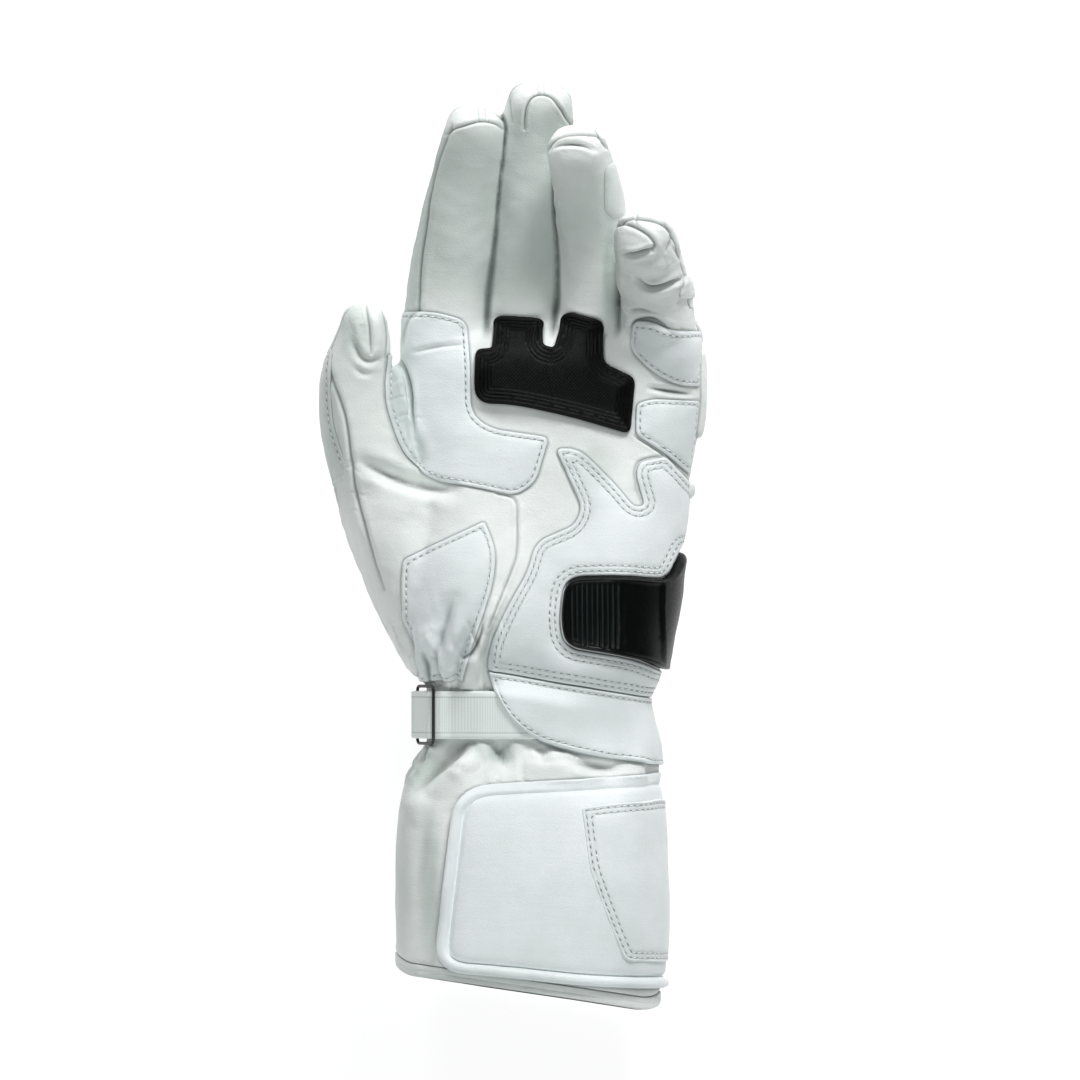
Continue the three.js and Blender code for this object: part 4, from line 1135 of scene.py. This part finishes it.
RUBBER = grip_rubber()
WEBBING = webbing()
SLIDER = slider_plastic()
WIRE = plain("ring_metal", linear(74, 77, 76), 0.4, metallic=0.8)
THREAD = plain("thread", linear(238, 242, 241), 0.8, specular=0.2, grain=4000.0)
# Painted shade for the stitch holes
HOLE_SHADE = plain("stitch_hole_shade", linear(166, 175, 172), 0.9, specular=0.1)


# Finished pieces


def finish_piece(mesh, materials, replaces=(), sharp=None, shading=None):
    """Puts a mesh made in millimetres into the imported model's frame, as a piece.

    sharp is the angle over which its edges stay sharp, in degrees, and shading its own normals.
    """
    mesh.polygons.foreach_set("use_smooth", np.ones(len(mesh.polygons), bool))
    if sharp is not None:
        mesh.set_sharp_from_angle(angle=math.radians(sharp))
    place(mesh, (positions(mesh) + SHIFT) * MM)
    for material in materials:
        mesh.materials.append(material)
    if shading is not None:
        mesh.normals_split_custom_set_from_vertices(shading)
    for extra in ("rest", "base", "bed", "out", "shade", "fold_shade"):
        if extra in mesh.attributes:
            mesh.attributes.remove(mesh.attributes[extra])
    piece = made_object(mesh.name, mesh)
    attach(piece, "root")
    if replaces:
        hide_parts(*replaces)


def middles_of(mesh, points):
    """The middle of each face, with its vertices at other points."""
    corners = fetched(mesh.loops, "vertex_index", kind=np.int32)
    sides = fetched(mesh.polygons, "loop_total", kind=np.int32)
    owner = np.repeat(np.arange(len(sides)), sides)
    sums = [np.bincount(owner, points[corners, k], len(sides)) for k in range(3)]
    return np.stack(sums, 1) / sides[:, None]


SKIN_MIDDLES = middles_of(skin, read(skin, "base"))
labels = piece_names(SKIN_MIDDLES)
for label in sorted(set(labels) - {"cuff_hem"}):
    part = part_of(skin, label, labels == label)
    finish_piece(part, [MAIN_LEATHER], [label], shading=read(part, "shade"))


# Stitches

STITCH_PITCH, STITCH_LENGTH = 2.7, 2.1
SHORTEST_HALF = 0.3  # a stitch with a shorter half falls on a break of its row and is left out
# The holes are small dark discs of painted shade
HOLE_HALVES = (0.27, 0.3, 0.14)  # along the row, across it and up
THREAD_RISE, HOLE_RISE = 0.06, 0.02


def crossings(mesh, field, level):
    """The lines on a mesh where a field passes a level, as chains of points and normals."""
    mesh.calc_loop_triangles()
    triangles = fetched(mesh.loop_triangles, "vertices", 3, np.int32)
    higher = field[triangles] > level
    crossed = triangles[higher.any(1) & ~higher.all(1)]
    points, facing = positions(mesh), normals(mesh)
    links = {}
    spots = {}
    for triangle in crossed:
        ends = []
        for a, b in ((0, 1), (1, 2), (2, 0)):
            a, b = sorted((int(triangle[a]), int(triangle[b])))
            if (field[a] > level) != (field[b] > level):
                ends.append((a, b))
                share = (level - field[a]) / (field[b] - field[a])
                spots[a, b] = (points[a] + share * (points[b] - points[a]), facing[a] + facing[b])
        links.setdefault(ends[0], []).append(ends[1])
        links.setdefault(ends[1], []).append(ends[0])
    chains = []
    while links:
        start = next((key for key, to in links.items() if len(to) == 1), None) or next(iter(links))
        chain, here = [start], start
        while links.get(here):
            following = links[here].pop()
            links[following].remove(here)
            if not links[here]:
                del links[here]
            chain.append(following)
            here = following
        links.pop(here, None)
        links.pop(start, None)
        if len(chain) > 3:
            chains.append(tuple(np.array(column) for column in zip(*(spots[k] for k in chain))))
    return chains


def dropped(line, surface):
    """A line drawn from above, laid on a surface."""
    points, facing = [], []
    for x, y in smooth_line(line, 10):
        hit, normal, _, _ = surface.ray_cast(Vector((x, y, FAR)), DOWN)
        if hit:
            points.append(hit[:])
            facing.append(normal[:])
    return np.array(points), np.array(facing)


def stitch_places(points, facing):
    """Each stitch of a row: its middle, the ways along, across and out, and half its length."""
    run = run_of(points)
    starts = (np.arange(max(0, int(run[-1] / STITCH_PITCH - 0.5))) + 0.5) * STITCH_PITCH
    at = lambda s, values: np.stack([np.interp(s, run, column) for column in values.T], 1)
    first, last = at(starts, points), at(starts + STITCH_LENGTH, points)
    along = last - first
    half = np.linalg.norm(along, axis=1)[:, None] / 2
    sound = half[:, 0] > SHORTEST_HALF
    first, last, along, half = first[sound], last[sound], along[sound], half[sound]
    along /= 2 * half
    across = unit(np.cross(at(starts[sound] + STITCH_LENGTH / 2, facing), along))
    return (first + last) / 2, along, across, np.cross(along, across), half


def stitching(name, chains, radius=0.34):
    """Rows of stitches: a thread of that radius for each stitch and before it a dark disc, painted
    shade for its hole.
    """
    rows = [stitch_places(points, facing) for points, facing in chains]
    middle, along, across, up, half = (np.concatenate(column) for column in zip(*rows))
    bm = bmesh.new()
    bmesh.ops.create_uvsphere(bm, u_segments=6, v_segments=4, radius=1)
    shared = len(bm.verts)
    bmesh.ops.create_uvsphere(bm, u_segments=6, v_segments=4, radius=1)
    bm.faces.ensure_lookup_table()
    for face in bm.faces[len(bm.faces) // 2:]:
        face.material_index = 1
    stitch = made_mesh(bm, "stitch")
    ball = positions(stitch)[:shared]
    mesh = modified(stitch, "ARRAY", count=len(middle), use_relative_offset=False)
    mesh.name = name
    thread = np.stack([along * half, across * radius, up * radius], 1)
    hole = np.stack([way * size for way, size in zip((along, across, up), HOLE_HALVES)], 1)
    raised_middle = middle + up * THREAD_RISE
    ahead = middle - along * (half + (STITCH_PITCH - STITCH_LENGTH) / 2) + up * HOLE_RISE
    both = [raised_middle[:, None] + ball @ thread, ahead[:, None] + ball @ hole]
    place(mesh, np.concatenate(both, 1).reshape(-1, 3))
    finish_piece(mesh, [THREAD, HOLE_SHADE])


# Pieces that lie on the leather


def drop_edges(mesh, drop):
    """Closes a raised sheet's sides: its border runs down into the leather."""
    with edited(mesh) as bm:
        out_layer = bm.verts.layers.float_vector["out"]
        border = [e for e in bm.edges if e.is_boundary]
        for v in bmesh.ops.extrude_edge_only(bm, edges=border)["geom"]:
            if isinstance(v, bmesh.types.BMVert):
                v.co -= v[out_layer] * drop
        bmesh.ops.recalc_face_normals(bm, faces=bm.faces)


def above(chains, low):
    """The stretches of chains of points and normals that lie beyond y = low."""
    for points, facing in chains:
        kept = points[:, 1] > low
        breaks = np.flatnonzero(np.diff(kept.astype(int))) + 1
        split = (np.split(column, breaks) for column in (points, facing, kept))
        for stretch, normal, beyond in zip(*split):
            if beyond[0] and len(stretch) > 3:
                yield stretch, normal


ROW_HALF = 0.6  # half the width of the groove that a row of stitches lies in


def raised(name, depth_of, lift_of, bevel=1.1, rows=(), loops=(), drop=1.2, fine=0, level=0,
           line=0.75, low=-200, sag=9.0, across=()):
    """A sheet on the leather where depth_of is above 0, lifted by lift_of(depth, place).

    Its edge is rounded over a depth of bevel and runs down by drop. rows are the depths of its rows
    of stitches, loops those of further edges along its outline, and across the places along x of
    edges across it. fine divides its faces, and level says how far its bed is smoothed. line is
    how dark the painted shade along its edge is, and below y = low the sheet blends into the
    leather. sag is how far it follows the hollows of the leather, whose painted shade it takes
    when sag is over 1; its rows of stitches get painted shade too.
    """
    sheet = part_of(skin, name, depth_of(SKIN_MIDDLES) > -2.5)  # beyond the largest face
    base, out = read(sheet, "base"), read(sheet, "out")
    relief = ((read(sheet, "bed") - base) * out).sum(1)
    place(sheet, base + out * np.maximum(relief, -sag)[:, None])
    cut(sheet, depth_of(read(sheet, "base")), keep="above")
    beside = [row + side for row in rows for side in (-ROW_HALF, 0, ROW_HALF)]
    for at in [bevel * s for s in (0.12, 0.4, 1.0)] + beside + list(loops):
        cut(sheet, depth_of(read(sheet, "base")), at)
    for x in across:
        cut(sheet, read(sheet, "base")[:, 0], x, within=np.abs(face_middles(sheet)[:, 0] - x) < 4)
    if fine:
        with edited(sheet) as bm:
            bmesh.ops.subdivide_edges(bm, edges=bm.edges[:], cuts=fine, use_grid_fill=True)
    out = unit(read(sheet, "out"))
    write(sheet, "out", out)
    base = read(sheet, "base")
    bed = settled(positions(sheet), out, edge_pairs(sheet), 3 + level)
    depth = depth_of(base)
    lift = lift_of(depth, base)
    # Painted shade: a dark line along the edge, and the painted shade of the folds beneath
    dark = line * bell(depth, 0.16) * step(base[:, 1], low, low + 12)
    if sag > 1:
        dark = np.maximum(dark, read(sheet, "fold_shade"))
    # Painted shade in the grooves of the rows of stitches
    for row in rows:
        lift = lift - 0.3 * bell(depth - row, ROW_HALF)
        dark = np.maximum(dark, 0.19 * bell(depth - row, 0.7))
    t = np.clip(depth / bevel, 0, 1)
    rounding = 0.25 + 0.75 * np.sqrt(1 - (1 - t) ** 2)  # a quarter circle on a low wall
    write(sheet, "edge", depth)
    write(sheet, "painted_hollow_shade", dark)
    place(sheet, bed + out * (lift * rounding)[:, None])
    chains = [chain for row in rows for chain in above(crossings(sheet, depth, row), low + 6)]
    if chains:
        stitching(name + "_stitching", chains)
    drop_edges(sheet, drop)
    return sheet


def laid(name, depth_of, lift_of, material, sharp=50, fill=None, **shape):
    """A raised sheet of leather, finished as the piece that stands for the solid of that name."""
    made = raised(name, depth_of, lift_of, **shape)
    finish_piece(made, [material], [name], sharp=sharp)


WINDOW_GAP = 0.6  # between a panel and what fills its window
OUTSIDE = -6.0  # the depth given to all points that lie farther out


def outline_depth(name, low, window=None):
    """How deep a point lies inside an outline, above a lowest height and outside a window."""
    path = rounded(OUTLINE[name])
    hole = rounded(OUTLINE[window]) if window else None

    def depth(p):
        result = np.full(len(p), OUTSIDE)
        near = np.flatnonzero(around_path(p, path, -OUTSIDE) & (p[:, 2] > low - 8))
        result[near] = np.minimum(inside_outline(p[near, :2], path), p[near, 2] - low)
        if hole is not None:
            beyond = -inside_outline(p[near, :2], hole) - WINDOW_GAP
            result[near] = np.minimum(result[near], beyond)
        return result

    return depth


def panel_lift(edge, top):
    """A leather panel: low at its edge and fuller inside."""
    return lambda depth, p: edge + (top - edge) * fullness(depth, 5) + 0.05 * ripple(p, 8, 11)


def side_panel_lift(depth, p):
    """The panel beside the thumb: it runs out into the leather towards the wrist."""
    return (0.3 + 0.5 * fullness(depth, 5)) * (0.12 + 0.88 * step(p[:, 1], 16, 34))


PANELS = [
    # name, lowest z, lift at the edge and inside, depths of the rows of stitches
    ("index_web_patch", 14, 0.85, 1.6, (1.7,)),
    ("thenar_patch", 26, 0.85, 1.6, (1.9,)),
    ("little_patch_upper", 28, 0.9, 2.5, (1.8,)),
    ("little_patch_lower", 28.5, 0.9, 2.4, (1.5,)),
]
for name, low, edge, top, rows in PANELS:
    laid(name, outline_depth(name, low), panel_lift(edge, top), PATCH_LEATHER, rows=rows)

laid("thumb_side_panel", outline_depth("thumb_side_panel", 14), side_panel_lift, MAIN_LEATHER,
     rows=(1.6,), low=20)
laid("heel_panel", outline_depth("heel_panel", 10, "heel_slider"), panel_lift(1.0, 1.9),
     PATCH_LEATHER, rows=(1.8, 3.7))


def ribs(depth, p):
    """The slider's upright ribs: 1 along their crests and 0 between them."""
    turn = (p[:, 0] - RIBS["first"]) / RIBS["pitch"]
    field = (turn > -0.5) & (turn < RIBS["count"] - 0.5)
    return field * step(np.cos(2 * np.pi * turn), -0.5, 0.8) * step(depth, 1.6, 3.3)


SLIDER_DISH = (38.2, 40)  # along x, from the ribbed end down into the dish
SLIDER_LIP = (51, 52.4)  # and from the dish up to the outer end


def slider_lift(depth, p):
    """A flat ribbed palm end, a smooth dish and a raised outer end, inside a thin rim."""
    x = p[:, 0]
    lip = step(x, *SLIDER_LIP)
    dish = step(x, *SLIDER_DISH) * (1 - lip) * step(depth, 1.4, 2.4)
    rim = step(depth, 0.5, 0.9) * (1 - step(depth, 1.3, 1.7)) * (1 - lip)
    return 2.9 - 0.35 * dish + 0.6 * lip + 0.35 * rim + 0.3 * ribs(depth, p)


def grip_lift(depth, p):
    """Raised rings that follow the outline, and a plain field inside with one sloping ridge."""
    first, last = RING_FIELD
    rings = step(depth, first, first + 0.4) * (1 - step(depth, last, last + 0.4))
    away, _ = to_path(p[:, :2], np.array([(11, 71.6), (14.6, 53.6)]))
    ridge = bell(away, 0.5) * step(depth, 5, 7)
    return 2.1 + 0.25 * rings * np.cos(2 * np.pi * depth / 1.3) + 0.3 * ridge


quarters = np.arange(4 * RIBS["count"] + 1) / 4 - 0.5
rib_edges = RIBS["first"] + RIBS["pitch"] * quarters
slider = raised("heel_slider", outline_depth("heel_slider", 16), slider_lift, bevel=0.8,
                loops=(0.5, 0.9, 1.3, 1.7, 2.4, 3.2), level=30,
                across=[*rib_edges, SLIDER_DISH[0], 39.1, SLIDER_DISH[1],
                        SLIDER_LIP[0], 51.7, SLIDER_LIP[1]])
# Where the painted highlight lies: the crests of the ribs
write(slider, "crest_highlight", ribs(read(slider, "edge"), read(slider, "base")))
finish_piece(slider, [SLIDER], ["heel_slider"], sharp=45)
grip = raised("grip_pad", outline_depth("grip_pad", 14), grip_lift, bevel=0.9,
              fine=2)
finish_piece(grip, [RUBBER], ["grip_pad"], sharp=45)


# The cuff's closing flap: a rolled edge round a padded panel

FLAP_TOP_EDGE = -95.0


def flap_lift(depth, p):
    """The roll is full at the sides and the bottom, and flat where the top is sewn on."""
    full = 1 - 0.88 * step(p[:, 1], FLAP_TOP_EDGE, FLAP_TOP_EDGE + 9)
    roll = np.sqrt(np.clip(1 - ((depth - 1.9) / 2.1) ** 2, 0, 1))
    inside = step(depth, 4.1, 6.2)
    groove = 0.45 * (0.3 + 0.7 * full) * bell(depth - 4.3, 0.5)
    swell = fullness(depth - 5, 9)
    return 0.8 + full * (0.5 + 1.9 * roll) + 0.75 * inside + 0.8 * swell - groove


flap = raised("cuff_flap", outline_depth("cuff_flap", 14), flap_lift, bevel=1.0,
              loops=(0.7, 1.3, 1.9, 2.6, 3.3, 3.9, 4.3, 4.7, 5.3), level=30, sag=0.2)
# Less painted shade along the top edge, where the flap is sewn down flat
sewn_on = step(positions(flap)[:, 1], FLAP_TOP_EDGE - 5, FLAP_TOP_EDGE + 5)
write(flap, "painted_hollow_shade", read(flap, "painted_hollow_shade") * (1 - 0.6 * sewn_on))
finish_piece(flap, [PATCH_LEATHER], ["cuff_flap"], sharp=55)
laid("cuff_flap_patch", outline_depth("cuff_flap_patch", 18), panel_lift(3.2, 3.7), PATCH_LEATHER,
     bevel=0.5, rows=(1.4, 3.1), level=30, line=0.3)


# The hem, and the pads along the little finger's edge


def hem_depth(p):
    """How far a point lies from both edges of the hem."""
    distance = above_mouth(p)
    return np.minimum(distance, MOUTH["hem"] - distance)


def hem_lift(depth, p):
    """A narrow turned edge, drawn in a little along its middle."""
    return 0.35 - 0.2 * bell(depth - MOUTH["hem"] / 2, 0.3)


laid("cuff_hem", hem_depth, hem_lift, MAIN_LEATHER, sharp=60, bevel=1.9, drop=3.0, loops=(1.8,),
     line=0.3)


def block_depth(x, low, high, down, up, corner=3.0):
    """How deep a point lies in a block beyond x, with rounded corners."""
    def depth(p):
        inset = np.stack([p[:, 0] - x, np.minimum(p[:, 1] - low, high - p[:, 1]),
                          np.minimum(p[:, 2] - down, up - p[:, 2])])
        cut_off = np.minimum(inset[1:], corner) - corner
        return (np.minimum(inset[0], corner - np.hypot(*cut_off))
                + np.maximum(0, inset.min(0) - corner))
    return depth


def pad_lift(edge, top, reach):
    """A pad with a round edge, as wide as reach."""
    def lift(depth, p):
        flat = np.clip(depth / reach, 0, 1)
        return edge + (top - edge) * np.sqrt(1 - (1 - flat) ** 2)
    return lift


PAD_LOOPS = (1.6, 2.3, 3.1)
PAD_FILL = 0.6
EDGE_PADS = [
    # name, lowest and highest y, lowest and highest z, top
    ("little_knuckle_pad_tip", 88.2, 96.6, 30, 52, 1.9),
    ("little_knuckle_pad_middle", 71.6, 83.6, 14, 27.5, 2.1),
    ("little_knuckle_pad_base", 38, 69.8, 8, 26, 2.1),
    ("edge_tab", 16, 22.8, 14, 28, 3.2),
]
for name, low, high, down, up, top in EDGE_PADS:
    laid(name, block_depth(50, low, high, down, up), pad_lift(0.6, top, 4), MAIN_LEATHER, sharp=60,
         fill=None if name == "edge_tab" else PAD_FILL, bevel=1.0, loops=PAD_LOOPS, line=0.45)


def ring_pad_depth(p, corner=4.0, outside=-5.0):
    """How deep a point of the ring finger lies in a block on its little-finger side."""
    cut_off = np.minimum([p[:, 0] - 33, p[:, 1] - 117, 137 - p[:, 1]], corner) - corner
    depth = corner - np.sqrt((cut_off**2).sum(0))
    near = np.flatnonzero(depth > outside)
    other = on_fingers(p[near])[0] != FINGER_NAMES.index("ring")
    depth[near[other]] = outside
    return np.maximum(depth, outside)


laid("ring_knuckle_pad", ring_pad_depth, pad_lift(0.15, 1.0, 3.9), MAIN_LEATHER, sharp=60,
     fill=PAD_FILL, bevel=1.0, loops=PAD_LOOPS, line=0.35)


# The wrist closure

bm = bmesh.new()
bm.from_mesh(skin)
SURFACE = BVHTree.FromBMesh(bm)
bm.free()


def band(name, path, low, high, thickness):
    """A flat strap: straight across from y low to high, and bent along a path of x and z."""
    path = np.array(path, float)
    along = unit(np.gradient(path, axis=0))
    outward = np.stack([-along[:, 1], along[:, 0]], 1)
    half = thickness / 2
    profile = []
    for y, side in ((low, -1), (high, 1)):
        for turn in np.linspace(-1, 1, 5):
            angle = turn * math.pi / 2
            profile.append((y - side * half * (1 - math.cos(angle)), side * half * math.sin(angle)))
    top = [(y, half) for y in np.linspace(high - half, low + half, 24)[1:-1]]
    bottom = [(y, -half) for y in np.linspace(low + half, high - half, 6)[1:-1]]
    loop = profile[:5] + bottom + profile[5:] + top
    rings = [[(x + nx * off, y, z + nz * off) for y, off in loop]
             for (x, z), (nx, nz) in zip(path, outward)]
    return tube(rings, name)


# The ring's two long bars: x and z of their middles
STRAP_BAR = np.array([-28.4, 44.5])
TAB_BAR = np.array([-34.2, 31.0])
strap_ys = np.linspace(STRAP["low"] + 1, STRAP["high"] - 1, 7)

# The strap lies on the highest leather under its width, and its end is folded round the ring's bar
tops = []
for x in np.linspace(STRAP["end"], -23, 20):
    hits = [SURFACE.ray_cast(Vector((x, y, FAR)), DOWN)[0] for y in strap_ys]
    tops.append((x, max(h[2] for h in hits if h) + 1.3))
tops = np.array(tops)
for _ in range(6):
    tops[1:-1, 1] = np.maximum(tops[1:-1, 1], (tops[:-2, 1] + tops[2:, 1]) / 2)
folded_end = [(-25.2, 46.4), (-26.3, 46.0), (-27.0, 45.0), (-27.4, 43.7), (-28.2, 42.8),
              (-29.4, 42.6), (-30.4, 43.0)]
strap_path = [*tops.tolist(), *folded_end]
strap = band("wrist_strap", strap_path[::-1], STRAP["low"] + 0.2, STRAP["high"] - 0.2, 1.5)
finish_piece(strap, [WEBBING], ["wrist_strap"], sharp=50)

# The tab comes up the side of the wrist and loops through the ring
tab_path = []
for z in np.linspace(8, 27, 9):
    hits = [SURFACE.ray_cast(Vector((-120, y, z)), Vector((1, 0, 0)))[0] for y in strap_ys]
    tab_path.append((min(h[0] for h in hits if h) - 0.9, z))
to_strap = STRAP_BAR - TAB_BAR
outside = np.array([-to_strap[1], to_strap[0]]) / np.linalg.norm(to_strap)
for share in (0.0, 0.2, 0.4, 0.6, 0.74):
    tab_path.append(TAB_BAR + to_strap * share + outside * (1.7 - 1.6 * share))
for share, inset in ((0.7, 0.9), (0.4, 1.5), (0.0, 1.8)):
    tab_path.append(TAB_BAR + to_strap * share - outside * inset)
tab = band("ring_tab", tab_path, STRAP["low"] + 0.3, STRAP["high"] - 0.3, 1.3)
finish_piece(tab, [WEBBING], ["ring_tab"], sharp=50)


def ring_wire(wire=0.55, corner=1.8):
    """A rectangle of round wire that lies through both bars, with rounded corners."""
    low, high = STRAP["low"] - 1.5, STRAP["high"] + 1.5
    first, last = np.insert(TAB_BAR, 1, 0), np.insert(STRAP_BAR, 1, 0)
    reach = np.linalg.norm(last - first) / 2
    across, long = (last - first) / (2 * reach), np.array([0, 1.0, 0])
    out = np.cross(across, long)
    centre = (first + last) / 2 + long * (low + high) / 2
    turn = np.arange(12) / 12 * 2 * np.pi
    rings = []
    for quarter, (a, b) in enumerate(((1, 1), (-1, 1), (-1, -1), (1, -1))):
        turning = across * a * (reach - corner) + long * b * ((high - low) / 2 - corner)
        for t in np.linspace(0, 1, 9):
            angle = (quarter + t) * math.pi / 2
            facing = across * math.cos(angle) + long * math.sin(angle)
            round_wire = np.outer(np.cos(turn), facing) + np.outer(np.sin(turn), out)
            rings.append(centre + turning + facing * corner + wire * round_wire)
    return rings + rings[:1]


finish_piece(tube(ring_wire(), "wrist_ring"), [WIRE], ["wrist_ring"])


def wrist_flap_lift(depth, p):
    """A leather flap: sewn down along its top, and rising over the strap."""
    over = step(p[:, 1], -77, -70) * (1 - step(p[:, 1], -55.5, -46)) * (1 - step(p[:, 0], 15, 32))
    top, _ = to_path(p[:, :2], np.array([(-8.8, -46.0), (80.0, -61.1)]))
    loose = step(top, 0.3, 8)
    return 1.3 + loose * (0.6 + 2.3 * over) + 0.3 * fullness(depth, 4)


laid("wrist_flap", outline_depth("wrist_flap", 12), wrist_flap_lift, PATCH_LEATHER, bevel=0.9,
     rows=(1.7,), drop=3.5, level=40, sag=0.6)


# Stitches on the main leather

SIDE_STITCHES = [(-68.6, 59), (-67.1, 51.8), (-65, 38.9), (-63.2, 22.3)]
stitching("thumb_side_stitching", [dropped(SIDE_STITCHES, SURFACE)], radius=0.26)


# The lining, seen through the mouth of the cuff

lining = modified(lofts[0], "REMESH", mode="VOXEL", voxel_size=2 * VOXEL)
place(lining, relaxed(positions(lining), edge_pairs(lining), 3))
outward = relaxed(normals(lining), edge_pairs(lining), 3)
inset = 2.1 + 4.4 * step(positions(lining)[:, 1], -150, -100)  # more under folds
place(lining, positions(lining) - outward * inset[:, None])
cut(lining, above_mouth(positions(lining), 0.5), keep="above")
lining.flip_normals()
lining.name = "inner_lining"
finish_piece(lining, [LINING])


# Floor, light and camera


def area_light(name, azimuth, elevation, size, power, colour=(1, 1, 1), distance=1.6):
    """A soft square light that shines on the glove from that direction, in degrees."""
    data = bpy.data.lights.new(name, "AREA")
    data.size = size
    data.energy = power * math.pi**2 * distance**2
    data.color = colour
    a, e = math.radians(azimuth), math.radians(elevation)
    spot = Vector((math.cos(e) * math.cos(a), math.cos(e) * math.sin(a), math.sin(e))) * distance
    light = made_object(name, data)
    light.location = spot
    light.rotation_euler = (-spot).to_track_quat("-Z", "Y").to_euler()


area_light("key", 70, 27, 0.45, 0.79)
area_light("key_left", 112, 26, 0.6, 0.3)
area_light("low", 270, 52, 0.8, 0.46, (0.97, 1.0, 0.99))

world = bpy.data.worlds.new("studio")
world.use_nodes = True
Nodes(world.node_tree).feed(world.node_tree.nodes["Background"], {
    "Color": (0.93, 1.0, 0.98, 1), "Strength": 0.05,
})
bpy.context.scene.world = world

floor_finish = Finish("floor")
floor_finish.feed(floor_finish.shader, {
    "Base Color": (0.3, 0.3, 0.3, 1), "Roughness": 0.9, "Specular IOR Level": 0.0,
    "Emission Color": (1, 1, 1, 1), "Emission Strength": 0.82,
})
bm = bmesh.new()
bmesh.ops.create_grid(bm, x_segments=8, y_segments=8, size=4.0)
floor = made_object("floor", made_mesh(bm, "floor"))
floor.location = (0, 0, -0.0008)
floor.data.materials.append(floor_finish.material)

# The camera looks straight down. Its picture is VIEW_WIDE metres wide at the height VIEW_UP, and
# its middle lies at VIEW_MIDDLE in the drawing's frame
SENSOR = 36
VIEW_WIDE, VIEW_UP, VIEW_OFF = 0.3888, 0.03, 6.0
VIEW_MIDDLE = (9.9, 1.44)
camera_data = bpy.data.cameras.new("camera")
camera_data.sensor_width = SENSOR
camera_data.lens = SENSOR / VIEW_WIDE * VIEW_OFF
camera_data.clip_end = 20
camera = made_object("camera", camera_data)
camera.location = (*((VIEW_MIDDLE + SHIFT[:2]) * MM), VIEW_UP + VIEW_OFF)
bpy.context.scene.camera = camera
bpy.context.scene.view_settings.view_transform = "Standard"
